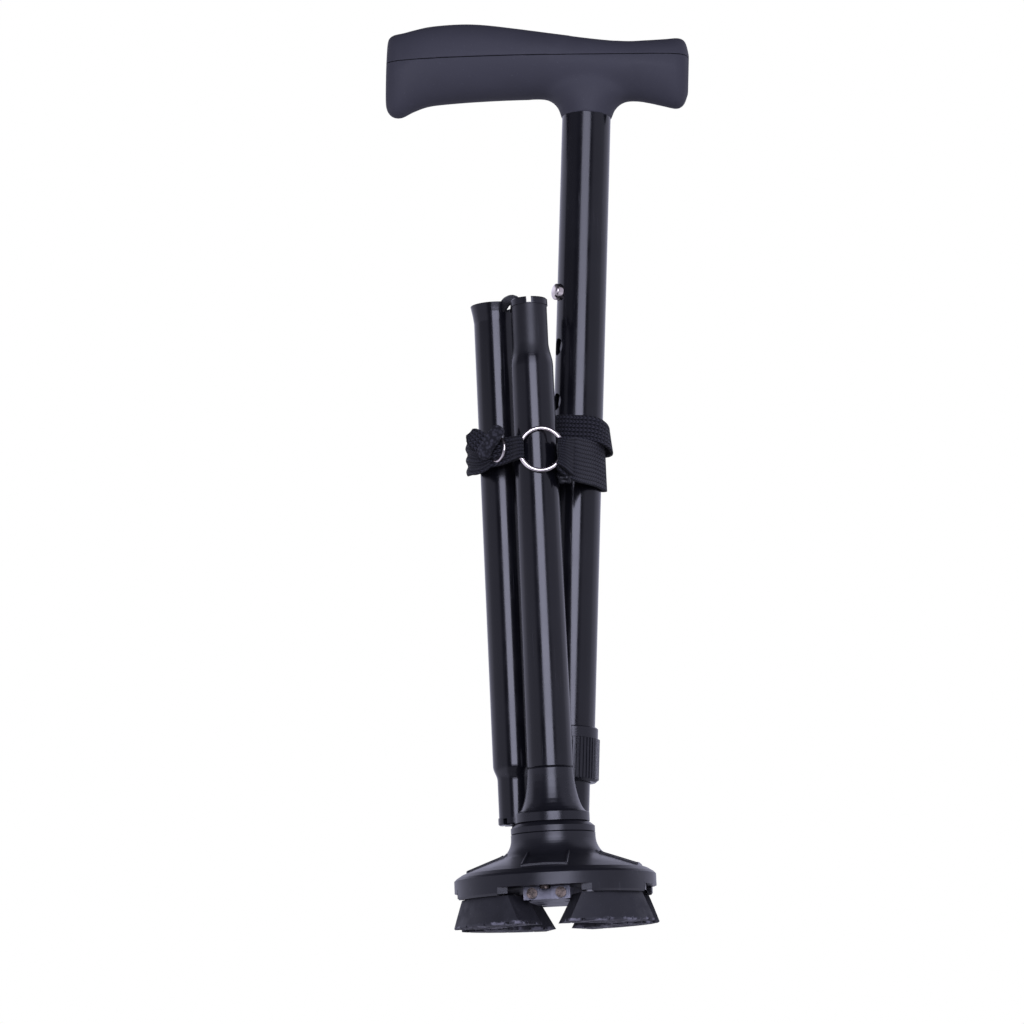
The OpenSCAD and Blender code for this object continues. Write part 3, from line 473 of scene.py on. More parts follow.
def soft_touch_finish():
    """Soft-touch coated handle, dark blue grey, with a velvety grain and slightly rubbed patches."""
    material, tree, shader, at = new_finish("soft_touch_grey", IOR=1.45, Specular_IOR_Level=0.4)
    grain = grain_on(tree, at, 2200.0, 28.0)
    marks = marks_on(tree, at, 0.8, 420.0)
    colour = blend_colours(tree, grain["Blotch"], (0.0345, 0.034, 0.0425), (0.0405, 0.04, 0.05))
    colour = blend_colours(tree, times(tree, marks["Dust"], 0.25), colour, (0.09, 0.09, 0.11))
    set_colour(tree, shader, colour)
    rough = plus(tree, spread(tree, grain["Blotch"], *REACH["Blotch"], 0.56, 0.64),
                 times(tree, grain["Grain"], 0.1))
    set_rough(tree, shader, rough)
    set_bump(tree, shader, grain["Grain"], 0.3, 0.06 * MM)
    return material


def foot_rubber_finish():
    """Matt black rubber, worn grey in patches on the soles, with wavy grooves there that are darkened as
    painted shade.
    """
    material, tree, shader, at = new_finish("foot_rubber", IOR=1.45)
    grain = grain_on(tree, at, 1300.0, 120.0)
    marks = marks_on(tree, at, 0.5, 500.0)
    height = add_node(tree, "SeparateXYZ", {0: at["Object"]}).outputs[2]
    flat = add_node(tree, "VectorMath", {0: at["Object"], 1: (1, 1, 0)}, operation="MULTIPLY").outputs[0]
    from_middle = add_node(tree, "VectorMath", {0: flat}, operation="LENGTH").outputs["Value"]
    tear = add_node(tree, "TexNoise", {"Vector": at["Object"], "Scale": 260.0, "Detail": 4.0, "Roughness": 0.7})
    ragged = math_node(tree, "SUBTRACT", height, times(tree, tear.outputs["Fac"], WEAR_RISE))
    sole = spread(tree, ragged, -1.0 * MM, -0.2 * MM, 1.0, 0.0)
    tread_turn = plus(tree, math_node(tree, "DIVIDE", from_middle, TREAD_PITCH),
                      times(tree, tear.outputs["Fac"], 2.2))
    tread = math_node(tree, "SINE", times(tree, tread_turn, 2 * math.pi))
    groove_and_shade = times(tree, sole, spread(tree, tread, 0.35, 0.8))
    patches = add_node(tree, "TexNoise", {"Vector": at["Object"], "Scale": 170.0, "Detail": 3.0})
    worn = times(tree, sole, spread(tree, patches.outputs["Fac"], 0.46, 0.6, 0.08, 1.0))
    colour = blend_colours(tree, grain["Blotch"], (0.012, 0.012, 0.015), (0.017, 0.017, 0.021))
    colour = blend_colours(tree, worn, colour, (0.19, 0.185, 0.215))
    # painted shade: the grooves in the soles made darker than the rubber's own colour
    colour = blend_colours(tree, groove_and_shade, colour, (0.004, 0.004, 0.005))
    colour = blend_colours(tree, times(tree, marks["Dust"], 0.25), colour, (0.12, 0.12, 0.125))
    set_colour(tree, shader, colour)
    set_rough(tree, shader, spread(tree, grain["Blotch"], *REACH["Blotch"], 0.52, 0.72))
    relief = math_node(tree, "SUBTRACT", times(tree, grain["Grain"], 0.2), groove_and_shade)
    set_bump(tree, shader, relief, 0.6, 0.4 * MM)
    return material


def bright_metal_finish():
    """Bright plated steel with hairline scratches."""
    material, tree, shader, at = new_finish("bright_plated_steel", Metallic=1.0)
    grain = grain_on(tree, at, 1800.0, 200.0)
    marks = marks_on(tree, at, 0.2, 1600.0)
    colour = blend_colours(tree, grain["Blotch"], (0.66, 0.59, 0.55), (0.84, 0.78, 0.74))
    set_colour(tree, shader, colour)
    rough = plus(tree, spread(tree, grain["Blotch"], *REACH["Blotch"], 0.07, 0.13),
                 times(tree, marks["Scratch"], 0.2))
    set_rough(tree, shader, rough)
    set_bump(tree, shader, marks["Scratch"], 0.05, 0.02 * MM)
    return material


def plain_finish(name, scales, dark, light, rough, bump, rough_by="Grain", **fixed):
    """A finish between two colours with a raised grain; its roughness follows the grain or the blotches."""
    material, tree, shader, at = new_finish(name, **fixed)
    grain = grain_on(tree, at, *scales)
    set_colour(tree, shader, blend_colours(tree, grain["Blotch"], dark, light))
    set_rough(tree, shader, spread(tree, grain[rough_by], *REACH[rough_by], *rough))
    set_bump(tree, shader, grain["Grain"], *bump)
    return material


def webbing_finish():
    """Black ribbed nylon webbing with slanted threads, painted shade in its furrows and along its cut end, and
    a dusty bloom on its ribs.
    """
    material, tree, shader, at = new_finish("ribbed_webbing", IOR=1.4, Specular_IOR_Level=0.25,
                                            Sheen_Weight=0.03, Sheen_Roughness=0.4)
    weave = place_group(tree, WEAVE, {"UV": at["UV"]})
    grain = grain_on(tree, at, 2600.0, 160.0)
    colour = blend_colours(tree, grain["Blotch"], (0.002, 0.002, 0.0026), (0.004, 0.004, 0.005))
    colour = blend_colours(tree, times(tree, weave["Thread"], 0.95), colour, (0.04, 0.04, 0.05))
    # painted shade: the furrows between the ribs darkened almost to black
    colour = blend_colours(tree, times(tree, weave["Furrow Shade"], 0.85), colour, (0.0012, 0.0012, 0.0015))
    # painted shade: the start of each band darkened almost to black, along its cut end
    along = add_node(tree, "SeparateXYZ", {0: at["UV"]}).outputs[1]
    painted_end_shade = spread(tree, along, 1.2 * MM, 2.8 * MM, 0.97, 0.0)
    colour = blend_colours(tree, painted_end_shade, colour, (0.001, 0.001, 0.0013))
    set_colour(tree, shader, colour)
    set_rough(tree, shader, spread(tree, grain["Grain"], *REACH["Grain"], 0.62, 0.82))
    set_bump(tree, shader, weave["Height"], 1.0, 0.5 * MM)
    return material


def fuzzy_end_finish():
    """Rough cut end of the webbing, matted into short loops, with painted shade between them."""
    material, tree, shader, at = new_finish("fuzzy_webbing_end", IOR=1.4, Specular_IOR_Level=0.25,
                                            Sheen_Weight=0.04, Sheen_Roughness=0.5)
    grain = grain_on(tree, at, 1500.0, 700.0)
    loops = add_node(tree, "TexVoronoi", {"Vector": at["Object"], "Scale": 620.0})
    colour = blend_colours(tree, grain["Blotch"], (0.024, 0.024, 0.029), (0.05, 0.05, 0.06))
    # painted shade: darker between the loops, where the bump sinks
    colour = blend_colours(tree, spread(tree, loops.outputs["Distance"], 0.3, 0.65, 0.0, 0.8), colour,
                           (0.004, 0.004, 0.005))
    set_colour(tree, shader, colour)
    set_rough(tree, shader, spread(tree, grain["Grain"], *REACH["Grain"], 0.7, 0.9))
    rough_height = math_node(tree, "SUBTRACT", grain["Grain"], loops.outputs["Distance"])
    set_bump(tree, shader, rough_height, 0.8, 0.5 * MM)
    return material


def elastic_finish():
    """Black braided sheath of the elastic cord, with painted shade in the furrows between its strands."""
    material, tree, shader, at = new_finish("braided_elastic", IOR=1.45, Sheen_Weight=0.1)
    braid = place_group(tree, BRAID, {"UV": at["UV"]})
    grain = grain_on(tree, at, 3000.0, 300.0)
    colour = blend_colours(tree, grain["Blotch"], (0.006, 0.006, 0.0075), (0.013, 0.013, 0.016))
    # painted shade: the furrows between the strands darkened almost to black
    colour = blend_colours(tree, braid["Furrow Shade"], colour, (0.001, 0.001, 0.0013))
    set_colour(tree, shader, colour)
    set_rough(tree, shader, spread(tree, grain["Grain"], *REACH["Grain"], 0.5, 0.7))
    set_bump(tree, shader, braid["Height"], 0.9, 0.4 * MM)
    return material


FINISHES = {"black_tube": gloss_tube_finish("gloss_black_tube"),
            "black_plastic": satin_plastic_finish("satin_black_plastic", 0.2, 0.27),
            "soft_touch": soft_touch_finish(), "foot_rubber": foot_rubber_finish(),
            "bright_metal": bright_metal_finish(), "elastic": elastic_finish(), "webbing": webbing_finish(),
            # Plain cast grey metal, pebbled and a little tarnished
            "zinc_block": plain_finish("cast_grey_metal", (900.0, 150.0), (0.12, 0.12, 0.135),
                                       (0.2, 0.2, 0.225), (0.35, 0.55), (0.35, 0.1 * MM), Metallic=0.85),
            # Natural nylon with flow marks
            "nylon": plain_finish("natural_nylon", (1500.0, 90.0), (0.62, 0.6, 0.55), (0.7, 0.68, 0.63),
                                  (0.35, 0.48), (0.1, 0.03 * MM), "Blotch", IOR=1.53)}
BASE_PLASTIC = satin_plastic_finish("grained_base_plastic", 0.26, 0.33)
# Burnished screws, brownish and dull
BURNISHED = plain_finish("burnished_screw", (1800.0, 500.0), (0.045, 0.038, 0.033), (0.15, 0.12, 0.1),
                         (0.25, 0.45), (0.3, 0.06 * MM), Metallic=1.0)
# Melted and set end of the webbing, glossy black and lumpy
MELTED_END = plain_finish("melted_nylon", (700.0, 350.0), (0.002, 0.002, 0.0026), (0.006, 0.006, 0.0075),
                          (0.24, 0.42), (0.7, 0.6 * MM), "Blotch", IOR=1.53, Specular_IOR_Level=0.25)
FUZZY_END = fuzzy_end_finish()
# Nodes whose finish differs from that of their slot
NODE_FINISHES = {"lower_tube": gloss_tube_finish("rubbed_lower_tube", RUBBED_FROM), "base_shell": BASE_PLASTIC,
                 "pivot_ring": BASE_PLASTIC, "retainer_screws": BURNISHED}


def dress_cad_nodes():
    """Gives every CAD node its own finish, or that of its material slot."""
    for part in frame["record"]["subparts"]:
        node = cad[part["node"]]
        if not node.material_slots:
            node.data.materials.append(None)
        for slot in node.material_slots:
            slot.material = NODE_FINISHES.get(part["node"], FINISHES[part["material_slot"]])


# Base

def round_sweep(points, radius, columns, steps=6):
    """A round rod along points in metres, closed at its ends, with its fine path and its length."""
    fine = [Vector(p) for p in smooth_rows([tuple(p) for p in points], steps)]
    last = len(fine) - 1
    length = sum((b - a).length for a, b in zip(fine, fine[1:]))
    side = UP.cross(fine[-1] - fine[0])
    side = side.normalized() if side.length > radius else Vector((1, 0, 0))

    def on_rod(around, along):
        i = round(along * last)
        ahead = (fine[min(last, i + 1)] - fine[max(0, i - 1)]).normalized()
        across = (side - ahead * side.dot(ahead)).normalized()
        turn = 2 * math.pi * around
        return fine[i] + radius * (math.cos(turn) * across + math.sin(turn) * across.cross(ahead))

    bm = grid_form(columns, last, on_rod, (1, length), closed=True)
    bmesh.ops.holes_fill(bm, edges=bm.edges, sides=0)
    return bm, fine, length


def panel_beads():
    """A rounded bead on each bar of the four bare panel frames on the cone."""
    shell = cad["base_shell"]
    bars = {"foot": [(-1, PANEL_LOW), (1, PANEL_LOW)],
            "left": [(-1, PANEL_LOW), (-PANEL_NARROW, PANEL_HIGH)],
            "right": [(1, PANEL_LOW), (PANEL_NARROW, PANEL_HIGH)]}
    for quarter in range(4):
        turn = Matrix.Rotation(BASE_TURN + quarter * math.pi / 2, 3, "Z")
        for place, ((a, low), (b, high)) in bars.items():
            path = []
            for k in range(PANEL_BEAD_STEPS + 1):
                share = k / PANEL_BEAD_STEPS
                spot = Vector((PANEL_HALF * (a + (b - a) * share), -(low + (high - low) * share), ABOVE_BASE))
                hit, point, normal = shell.ray_cast(turn @ spot, -UP)[:3]
                if hit:
                    path.append(point - normal * PANEL_BEAD_SINK * PANEL_BEAD_R)
            bm = round_sweep(path, PANEL_BEAD_R, PANEL_BEAD_COLUMNS, steps=2)[0]
            bead = piece_from(f"panel_bead_{place}_{quarter}", bm, BASE_PLASTIC)
            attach(bead, "base")


# Handle

def upper_place(point):
    """A point in the upper section's own directions, at rest."""
    tail = Vector((0, 1, 0)).cross(UPPER_AXIS).normalized()
    back = UPPER_AXIS.cross(tail)
    return UPPER_FOOT + tail * point[0] + back * point[1] + UPPER_AXIS * point[2]


def signed_power(value, power):
    return math.copysign(abs(value) ** power, value)


def handle_loft():
    """The handle's long body as one closed loft through its stations."""
    rows = smooth_rows([(s * NOSE_LEN, t, b, w) for s, t, b, w in NOSE_STATIONS]
                       + [(s * TAIL_LEN, t, b, w) for s, t, b, w in TAIL_STATIONS], HANDLE_STEPS)

    def on_skin(around, along):
        x, top, bottom, width = rows[round(along * (len(rows) - 1))]
        turn = 2 * math.pi * around
        rise = signed_power(math.sin(turn), 2 / HANDLE_SQUARE)
        tucked = HANDLE_HALF_W * width * (1 - HANDLE_TUCK * max(0, -rise))
        y = tucked * signed_power(math.cos(turn), 2 / HANDLE_SQUARE)
        z = HANDLE_H * ((top + bottom) / 2 + (top - bottom) / 2 * rise)
        return upper_place((x, y, HANDLE_NECK_RISE + z))

    bm = grid_form(HANDLE_COLUMNS, len(rows) - 1, on_skin, (1, 1), closed=True)
    bmesh.ops.holes_fill(bm, edges=bm.edges, sides=0)
    return bm


def handle_neck():
    """The flared neck, an oval that runs up into the handle."""
    rows = smooth_rows(NECK_ROWS, HANDLE_STEPS)

    def on_neck(around, along):
        out_along, out_across, share = rows[round(along * (len(rows) - 1))]
        turn = 2 * math.pi * around
        x = (UPPER_TUBE_R + out_along * MM) * math.cos(turn)
        y = (UPPER_TUBE_R + out_across * MM) * math.sin(turn)
        return upper_place((x, y, HANDLE_NECK_RISE + HANDLE_H * share))

    bm = grid_form(HANDLE_COLUMNS, len(rows) - 1, on_neck, (1, 1), closed=True)
    bmesh.ops.holes_fill(bm, edges=bm.edges, sides=0)
    return bm


def blend_neck(blank):
    """Smooths the handle where its neck runs into its underside."""
    bm = bmesh.new()
    bm.from_mesh(blank.data)
    foot = upper_place((0, 0, HANDLE_NECK_RISE))
    middle = upper_place((0, 0, HANDLE_NECK_RISE + NECK_BLEND_MIDDLE * HANDLE_H))
    near = [v for v in bm.verts if (v.co - middle).length < NECK_BLEND_R
            and (v.co - foot).dot(UPPER_AXIS) > NECK_BLEND_FROM * HANDLE_H]
    for step in range(NECK_BLEND_STEPS):
        bmesh.ops.smooth_vert(bm, verts=near, factor=SOFTEN_FACTOR, use_axis_x=True, use_axis_y=True,
                              use_axis_z=True)
    bm.to_mesh(blank.data)
    bm.free()


def handle_shells():
    """The two moulded shells of the handle, with the open seam between them."""
    bm = handle_loft()
    neck = bpy.data.meshes.new("handle_neck")
    handle_neck().to_mesh(neck)
    bm.from_mesh(neck)
    bpy.data.meshes.remove(neck)
    bmesh.ops.recalc_face_normals(bm, faces=bm.faces)
    blank = piece_from("handle_blank", bm, FINISHES["soft_touch"])
    remesh = blank.modifiers.new("skin", "REMESH")
    remesh.mode = "VOXEL"
    remesh.voxel_size = HANDLE_VOXEL
    soften = blank.modifiers.new("soften", "SMOOTH")
    soften.factor = SOFTEN_FACTOR
    soften.iterations = SOFTEN_STEPS
    bake_modifiers(blank)
    blend_neck(blank)
    seam_normal = upper_place((-math.sin(SEAM_TILT), 0, math.cos(SEAM_TILT))) - UPPER_FOOT
    seam_normal.normalize()
    seam_point = upper_place((0, 0, HANDLE_NECK_RISE + SEAM_SHARE * HANDLE_H))
    for name, node, side in (("handle_grip_shell", "handle_body", -1),
                             ("handle_top_shell", "handle_pad", 1)):
        half = bmesh.new()
        half.from_mesh(blank.data)
        cut = bmesh.ops.bisect_plane(half, geom=half.verts[:] + half.edges[:] + half.faces[:],
                                     plane_co=seam_point + seam_normal * side * SEAM_GAP / 2,
                                     plane_no=seam_normal, clear_outer=side < 0, clear_inner=side > 0)
        rim = [e for e in cut["geom_cut"] if isinstance(e, bmesh.types.BMEdge)]
        bmesh.ops.edgeloop_fill(half, edges=rim)
        bmesh.ops.recalc_face_normals(half, faces=half.faces)
        shell = piece_from(name, half, FINISHES["soft_touch"])
        for face in shell.data.polygons:
            face.use_smooth = len(face.vertices) < CAP_CORNERS
        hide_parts(node)
        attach(shell, "handle_section")
    bpy.data.objects.remove(blank)


# Strap

def webbing(name, stations, thickness=WEB_T, steps=8, columns=12):
    """A band of webbing through stations of place, direction of its width, width and depth of its pleats."""
    fine = smooth_rows(stations, steps)
    points = [Vector(row[:3]) * MM for row in fine]
    last = len(points) - 1
    length = sum((b - a).length for a, b in zip(points, points[1:]))
    widest = max(row[6] for row in fine) * MM

    def on_band(across, along):
        i = round(along * last)
        ahead = (points[min(last, i + 1)] - points[max(0, i - 1)]).normalized()
        lean = Vector(fine[i][3:6]).normalized()
        width = (lean - ahead * lean.dot(ahead)).normalized()
        fold = math.sin(2 * math.pi * PLEATS * across) * fine[i][7] * MM
        return points[i] + width * (across - 0.5) * fine[i][6] * MM + ahead.cross(width) * fold

    bm = grid_form(columns, last, on_band, (widest, length))
    area = sum(face.calc_area() for face in bm.faces)
    piece = piece_from(name, bm, FINISHES["webbing"])
    wall = piece.modifiers.new("thickness", "SOLIDIFY")
    wall.thickness = thickness
    wall.offset = 0
    rounding = piece.modifiers.new("soft_edges", "BEVEL")
    rounding.width = thickness * WEB_ROUND
    rounding.segments = 2
    rounding.limit_method = "ANGLE"
    bake_modifiers(piece)
    for face in piece.data.polygons:
        face.use_smooth = True
    return piece, widest, length, min(area, widest * length)


# Stations of the bands whose width stands upright: place, width and depth of the pleats, in millimetres.
# The bundle's band leaves the ring on the right, goes round the bundle and is gathered on the left.
BUNDLE_BAND = [(16.4, -7.6, 204.4, 17.2, 0), (15.2, -9.6, 204.8, 16.2, 0), (13.4, -11.9, 205.6, 14.0, 0),
               (11.7, -12.7, 206.3, 12.2, 0), (10.6, -11.2, 206.7, 11.8, 0), (11.4, -9.6, 206.5, 12.2, 0),
               (14.2, -7.4, 204.4, 18.0, 0), (17.4, -3.6, 203.9, 19.8, 0), (20.6, 3.8, 204.2, 20.0, 0),
               (24.6, 15.4, 205.0, 20.2, 0), (28.9, 27.4, 204.8, 20.2, 0), (29.7, 33.4, 204.9, 19.8, 0),
               (26.4, 40.8, 205.6, 18.4, 0), (17.8, 44.4, 207.2, 17, 0), (8.0, 42.6, 209.4, 16.6, 0),
               (-8, 38.4, 213.0, 16.4, 0), (-20.6, 34.2, 214.4, 16.2, 0.1), (-28.4, 27.2, 213.0, 16.2, 0.25),
               (-30.8, 18.4, 210.8, 16.0, 0.4), (-29.6, 9.6, 209.6, 15.2, 0.5), (-25.4, 2.6, 207.4, 13.8, 0.5),
               (-20.8, -0.6, 207.6, 10.4, 0.4)]
# The short strip runs from the gathered side to the ring on the left
RING_STRIP = [(-23.6, 3.6, 208.6, 11.6, 0.3), (-18.8, -0.6, 208.8, 12, 0.2), (-14.0, -3.6, 209.2, 11.8, 0),
              (-9.6, -8.4, 209.3, 10.6, 0), (-7.6, -11.6, 209.2, 10, 0), (-6.4, -12.3, 209.2, 9.8, 0),
              (-5.5, -10.8, 209.2, 9.8, 0), (-6.6, -9.3, 209.2, 9.8, 0), (-10.0, -5.2, 209.2, 10, 0)]
# The end folded flat on itself, slanting up over the left side: place and width, and the direction of its width
BIGHT = [(-19.8, -1.4, 209.6, 8.8), (-22.6, -1.0, 212.5, 8.8), (-25.4, -0.1, 215.4, 8.6),
         (-27.4, 0.9, 217.5, 7.4), (-28.5, 2.0, 218.6, 4.6), (-28.6, 3.4, 218.6, 4.2),
         (-27.6, 4.6, 217.3, 7.2), (-25.0, 4.4, 214.3, 8.2), (-21.8, 3.2, 210.4, 8.6)]
BIGHT_LEAN = (0.66, -0.35, 0.52)


def upright(rows):
    """Stations whose width stands upright."""
    return [(x, y, z, 0, 0, 1, width, pleat) for x, y, z, width, pleat in rows]


def slanted(rows, lean):
    """Stations whose width leans one way, without pleats."""
    return [(x, y, z, *lean, width, 0) for x, y, z, width in rows]


def upper_turn():
    """The upper turn round the handle tube, tilted and standing off it on the right."""
    stations = []
    for k in range(TURN_STATIONS):
        turn = TURN_FROM + TURN_STEP * k
        x, y = math.cos(turn), math.sin(turn)
        radius = TURN_R + TURN_OFF_RIGHT * max(0, x) + TURN_OFF_FRONT * max(0, -y)
        z = TURN_RISE - TURN_DROP_RIGHT * (max(0, x) ** 3 + min(0, x)) - TURN_DROP_BACK * y
        axis = (UPPER_FOOT + UPPER_AXIS * ((z * MM - UPPER_FOOT.z) / UPPER_AXIS.z)) / MM
        stations.append((axis.x + radius * x, axis.y + radius * y, z,
                         -TURN_LEAN * x, -TURN_LEAN * y, 1, TURN_W, 0))
    return webbing("strap_upper_turn", stations, steps=4, columns=16)


def melted_end():
    """The strap's cut end below the ring, melted into a lump so that it doesn't fray."""
    bm = bmesh.new()
    bmesh.ops.create_icosphere(bm, subdivisions=4, radius=1)
    for vert in bm.verts:
        lump = 1 + sum(height * math.sin(vert.co.dot(waves)) for height, waves in MELTED_LUMPS)
        vert.co = MELTED_CENTRE + Vector([half * c for half, c in zip(MELTED_HALF, vert.co)]) * lump * MM
    return piece_from("strap_melted_end", bm, MELTED_END)


def strap_end_tab():
    """The thick matted end of the strap, drawn through the small ring."""
    bm = bmesh.new()
    bmesh.ops.create_cube(bm, size=1)
    bmesh.ops.scale(bm, verts=bm.verts, vec=TAB_SIZE)
    corners = [e for e in bm.edges if abs(e.verts[0].co.y - e.verts[1].co.y) > 1 * MM]
    bmesh.ops.bevel(bm, geom=corners, offset=TAB_CORNER_R, segments=4, profile=0.5, affect="EDGES", material=-1)
    sides = [e for e in bm.edges if abs(e.verts[0].co.y - e.verts[1].co.y) < 0.1 * MM]
    bmesh.ops.bevel(bm, geom=sides, offset=TAB_EDGE_R, segments=2, profile=0.5, affect="EDGES", material=-1)
    bmesh.ops.subdivide_edges(bm, edges=[e for e in bm.edges if e.calc_length() > TAB_LONG_EDGE], cuts=TAB_CUTS,
                              use_grid_fill=True)
    for vert in bm.verts:
        vert.co.y += TAB_BEND * vert.co.z ** 2
        vert.co.x *= 1 + TAB_WAIST * math.sin(TAB_WAIST_PACE * vert.co.z)
    slant = Matrix.Rotation(TAB_TURN, 4, "Z") @ Matrix.Rotation(TAB_SLANT, 4, "Y")
    bmesh.ops.transform(bm, verts=bm.verts, matrix=Matrix.Translation(TAB_CENTRE) @ slant)
    piece = piece_from("strap_end_tab", bm, FUZZY_END)
    rounding = piece.modifiers.new("round", "SUBSURF")
    rounding.levels = rounding.render_levels = 2
    bake_modifiers(piece)
    for face in piece.data.polygons:
        face.use_smooth = True
    return piece


def wire_ring(name, centre, face, radius, wire):
    """A ring of round wire, turned about its face direction."""
    face = face.normalized()
    side = face.cross(UP).normalized()
    bm = bmesh.new()
    section = bmesh.ops.create_circle(bm, segments=WIRE_COLUMNS, radius=wire)["verts"]
    basis = Matrix((side, face, side.cross(face))).transposed()
    place = Matrix.Translation(centre + side * radius) @ basis.to_4x4()
    bmesh.ops.transform(bm, verts=section, matrix=place)
    bmesh.ops.spin(bm, geom=bm.verts[:] + bm.edges[:], cent=centre, axis=face, angle=2 * math.pi,
                   steps=WIRE_STEPS, use_merge=True)
    bmesh.ops.remove_doubles(bm, verts=bm.verts, dist=0.005 * MM)
    bmesh.ops.recalc_face_normals(bm, faces=bm.faces)
    return piece_from(name, bm, FINISHES["bright_metal"])


def tie_strap():
    """All pieces of the strap, carried by the handle section in place of their CAD nodes."""
    band, band_w, band_l, band_area = webbing("strap_bundle_band", upright(BUNDLE_BAND), columns=24)
    turn, turn_w, turn_l, turn_area = upper_turn()
    strip, strip_w, strip_l, strip_area = webbing("strap_ring_strip", upright(RING_STRIP))
    bight = webbing("strap_bight", slanted(BIGHT, BIGHT_LEAN), thickness=BIGHT_T, columns=10)[0]
    tab = strap_end_tab()
    lump = melted_end()
    ring = wire_ring("strap_ring_wire", RING_CENTRE, Vector((0, -1, 0)), RING_R, RING_WIRE)
    keeper = wire_ring("strap_keeper_wire", KEEPER_CENTRE, KEEPER_FACE, KEEPER_R, KEEPER_WIRE)
    for piece, node in ((band, "strap_loop"), (strip, "strap_loop"), (lump, "strap_loop"),
                        (turn, "strap_wrap"), (bight, "strap_tab"), (tab, "strap_tab"),
                        (ring, "strap_ring"), (keeper, "strap_keeper")):
        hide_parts(node)
        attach(piece, "handle_section")
    for piece in (band, strip, lump, bight, tab, ring, keeper):
        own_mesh(piece)


# Elastic cord

def straight_run(low, high):
    """Evenly spaced points between two ends."""
    return [low.lerp(high, k / RUN_PARTS) for k in range(RUN_PARTS + 1)]


def braided_cord(name, points, node, body):
    """A braided cord along points, in metres."""
    bm, fine, length = round_sweep(points, CORD_R, CORD_COLUMNS)
    piece = piece_from(name, bm, FINISHES["elastic"])
    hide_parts(node)
    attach(piece, body)
    return piece, fine, length


# Routes over the folds: share of the way across, millimetres past an end, and which end that is
FIRST_FOLD = [(0, -9, "tip"), (0, -7.4, "tip"), (0.06, -5.3, "tip"), (0.16, -3.1, "tip"), (0.28, -0.8, "tip"),
              (0.38, 1.6, "tip"), (0.48, 0.2, "rim"), (0.58, 0.35, "rim"), (0.66, -0.1, "rim"),
              (0.75, -1.5, "rim"), (0.84, -3.6, "rim"), (0.92, -6.2, "rim"), (0.98, -9.2, "rim"),
              (1, -11.6, "rim"), (1, -13.6, "rim")]
SECOND_FOLD = [(0, 0), (0, 1.6), (0.05, 2.5), (0.14, 3.1), (0.3, 3.3), (0.5, 3.4), (0.7, 3.3), (0.86, 3.1),
               (0.95, 2.5), (1, 1.6), (1, 0.2), (1, -3)]


def string_cords():
    """The elastic cord: straight runs in the tubes, and a bend over each fold."""
    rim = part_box("middle_tube")[1].z
    ends = {"tip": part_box("lower_ferrule")[1].z, "rim": rim}
    across = Vector((MIDDLE_AXIS.x, MIDDLE_AXIS.y, 0))
    first = [s * across + UP * (ends[end] + h * MM) for s, h, end in FIRST_FOLD]
    middle_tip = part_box("middle_ferrule")[0].z
    start = Vector((MIDDLE_AXIS.x, MIDDLE_AXIS.y, middle_tip))
    finish = Vector((UPPER_FOOT.x, UPPER_FOOT.y, middle_tip))
    second = [start.lerp(finish, s) - UP * h * MM for s, h in SECOND_FOLD]
    for name, node, body, place in (("cord_in_lower_tube", "cord_lower", "lower_section", LOWER_AXIS),
                                    ("cord_in_middle_tube", "cord_middle", "middle_section", MIDDLE_AXIS)):
        low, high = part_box(node)
        run = straight_run(Vector((place.x, place.y, low.z)), Vector((place.x, place.y, high.z)))
        braided_cord(name, run, node, body)
    low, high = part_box("cord_upper")
    foot = UPPER_FOOT + UPPER_AXIS * (low.z - UPPER_FOOT.z + CORD_FOOT_GAP)
    head = UPPER_FOOT + UPPER_AXIS * (high.z - UPPER_FOOT.z) / UPPER_AXIS.z
    braided_cord("cord_in_inner_tube", straight_run(foot, head), "cord_upper", "inner_section")
    over = braided_cord("cord_over_first_fold", first, "cord_bend_top", "first_fold")
    under = braided_cord("cord_under_second_fold", second, "cord_bend_bottom", "second_fold")
    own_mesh(over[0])
    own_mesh(under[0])


# Studio

def photo_camera():
    data = bpy.data.cameras.new("photo_camera")
    data.sensor_width = SENSOR_W
    data.lens = VIEW_LENS
    data.clip_end = VIEW_FAR
    ahead = Vector((math.sin(VIEW_TURN) * math.cos(VIEW_RISE), math.cos(VIEW_TURN) * math.cos(VIEW_RISE),
                    -math.sin(VIEW_RISE)))
    right = Vector((math.cos(VIEW_TURN), -math.sin(VIEW_TURN), 0))
    above = right.cross(ahead)
    across = math.cos(VIEW_ROLL) * right + math.sin(VIEW_ROLL) * above
    up = across.cross(ahead)
    turn = Matrix((across, up, -ahead)).transposed().to_4x4()
    camera = bpy.data.objects.new("photo_camera", data)
    camera.matrix_world = Matrix.Translation(VIEW_TARGET - VIEW_DISTANCE * ahead) @ turn
    bpy.context.collection.objects.link(camera)
    scene.camera = camera


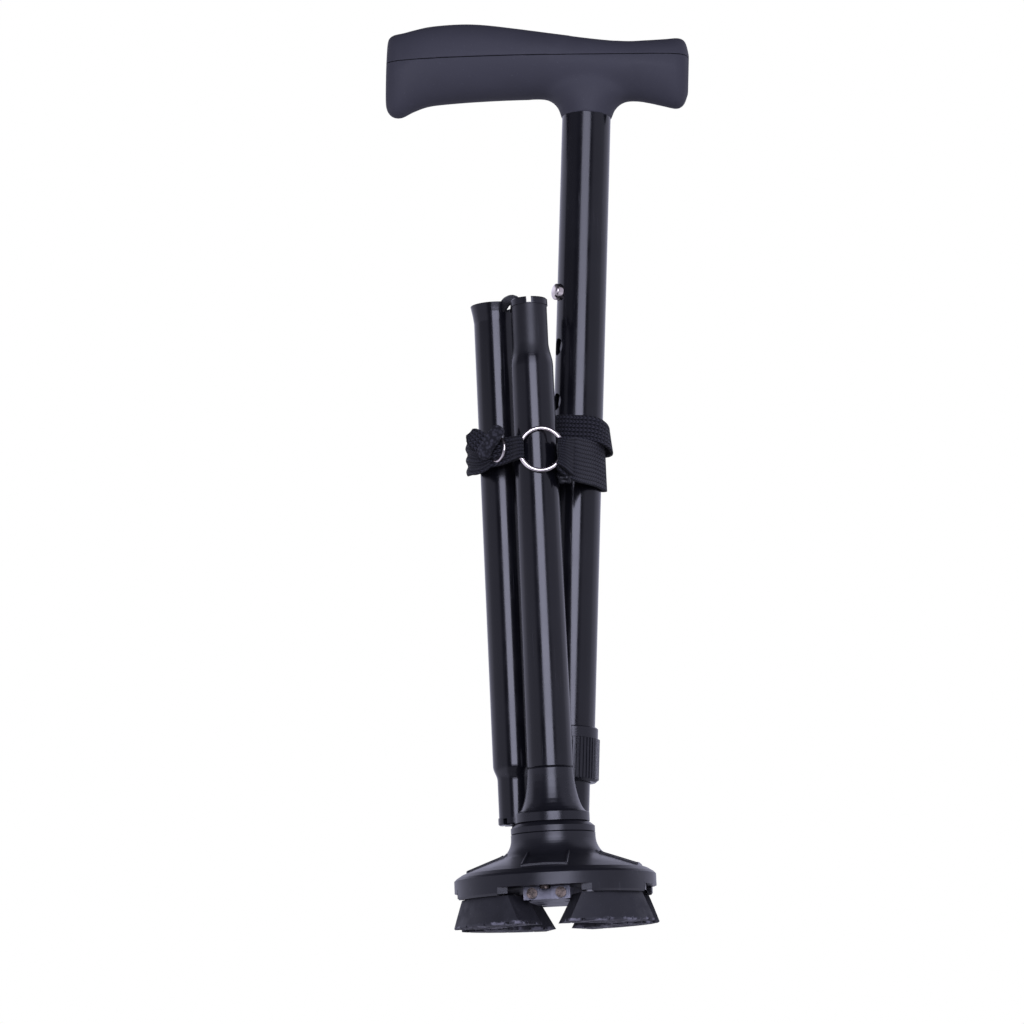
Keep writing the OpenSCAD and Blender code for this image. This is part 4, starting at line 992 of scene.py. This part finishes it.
def studio_world():
    """White to the camera; to the cane a white backdrop low behind it, a dim room and a pale floor."""
    world = bpy.data.worlds.new("white_studio")
    scene.world = world
    world.use_nodes = True
    tree = world.node_tree
    aim = add_node(tree, "TexCoord").outputs["Generated"]
    parts = add_node(tree, "SeparateXYZ", {0: aim}).outputs
    behind = spread(tree, parts[1], *BACKDROP_SIDE)
    low = times(tree, spread(tree, parts[2], *BACKDROP_TOP), spread(tree, parts[2], *BACKDROP_FOOT))
    backdrop = times(tree, times(tree, behind, low), spread(tree, parts[2], *BACKDROP_RISE))
    left = times(tree, spread(tree, parts[0], *LEFT_WALL), spread(tree, parts[2], *LEFT_WALL_TOP))
    right = spread(tree, parts[0], *RIGHT_WALL)
    below = plus(tree, spread(tree, parts[2], *FLOOR_BOUNCE), ROOM_LEVEL)
    room = plus(tree, below, plus(tree, left, right))
    seen = add_node(tree, "LightPath").outputs["Is Camera Ray"]
    level = math_node(tree, "MAXIMUM", math_node(tree, "MAXIMUM", backdrop, room), seen)
    background = tree.nodes["Background"]
    tree.links.new(blend_colours(tree, seen, ROOM_TINT, (1, 1, 1)), background.inputs["Color"])
    tree.links.new(level, background.inputs["Strength"])


def softbox():
    for i, (x, z, width, height, radiance) in enumerate(SOFTBOX_PANELS):
        data = bpy.data.lights.new(f"softbox_{i}", "AREA")
        data.shape = "RECTANGLE"
        data.size, data.size_y = width, height
        data.energy = math.pi * width * height * radiance
        data.color = SOFTBOX_TINT
        lamp = bpy.data.objects.new(f"softbox_{i}", data)
        lamp.matrix_world = Matrix.Translation((x, SOFTBOX_Y, z)) @ Matrix.Rotation(math.radians(90), 4, "X")
        bpy.context.collection.objects.link(lamp)


def pale_floor():
    """A pale floor that catches the shadow from above, and that the camera sees through from below."""
    bm = bmesh.new()
    bmesh.ops.create_grid(bm, x_segments=1, y_segments=1, size=FLOOR_HALF)
    mesh = bpy.data.meshes.new("pale_floor")
    bm.to_mesh(mesh)
    bm.free()
    floor = bpy.data.objects.new("pale_floor", mesh)
    floor.location.z = -FLOOR_DROP
    bpy.context.collection.objects.link(floor)
    material, tree, shader, at = new_finish("pale_floor", Roughness=0.9)
    cloud = add_node(tree, "TexNoise", {"Vector": at["Object"], "Scale": 3.0})
    set_colour(tree, shader, blend_colours(tree, cloud.outputs["Fac"], (0.8, 0.8, 0.8), (0.84, 0.84, 0.84)))
    path = add_node(tree, "LightPath").outputs["Is Camera Ray"]
    back = add_node(tree, "NewGeometry").outputs["Backfacing"]
    shown = times(tree, path, math_node(tree, "SUBTRACT", 1.0, back))
    clear = add_node(tree, "BsdfTransparent")
    pale = add_node(tree, "Emission", {"Color": (1, 1, 1, 1), "Strength": FLOOR_GLOW})
    lifted = add_node(tree, "AddShader", {0: shader.outputs[0], 1: pale.outputs[0]})
    mixed = add_node(tree, "MixShader", {0: shown, 1: clear.outputs[0], 2: lifted.outputs[0]})
    tree.links.new(mixed.outputs[0], tree.nodes["Material Output"].inputs["Surface"])
    mesh.materials.append(material)


scene.view_settings.view_transform = "Standard"
photo_camera()
string_cords()
dress_cad_nodes()
panel_beads()
handle_shells()
tie_strap()
studio_world()
softbox()
pale_floor()
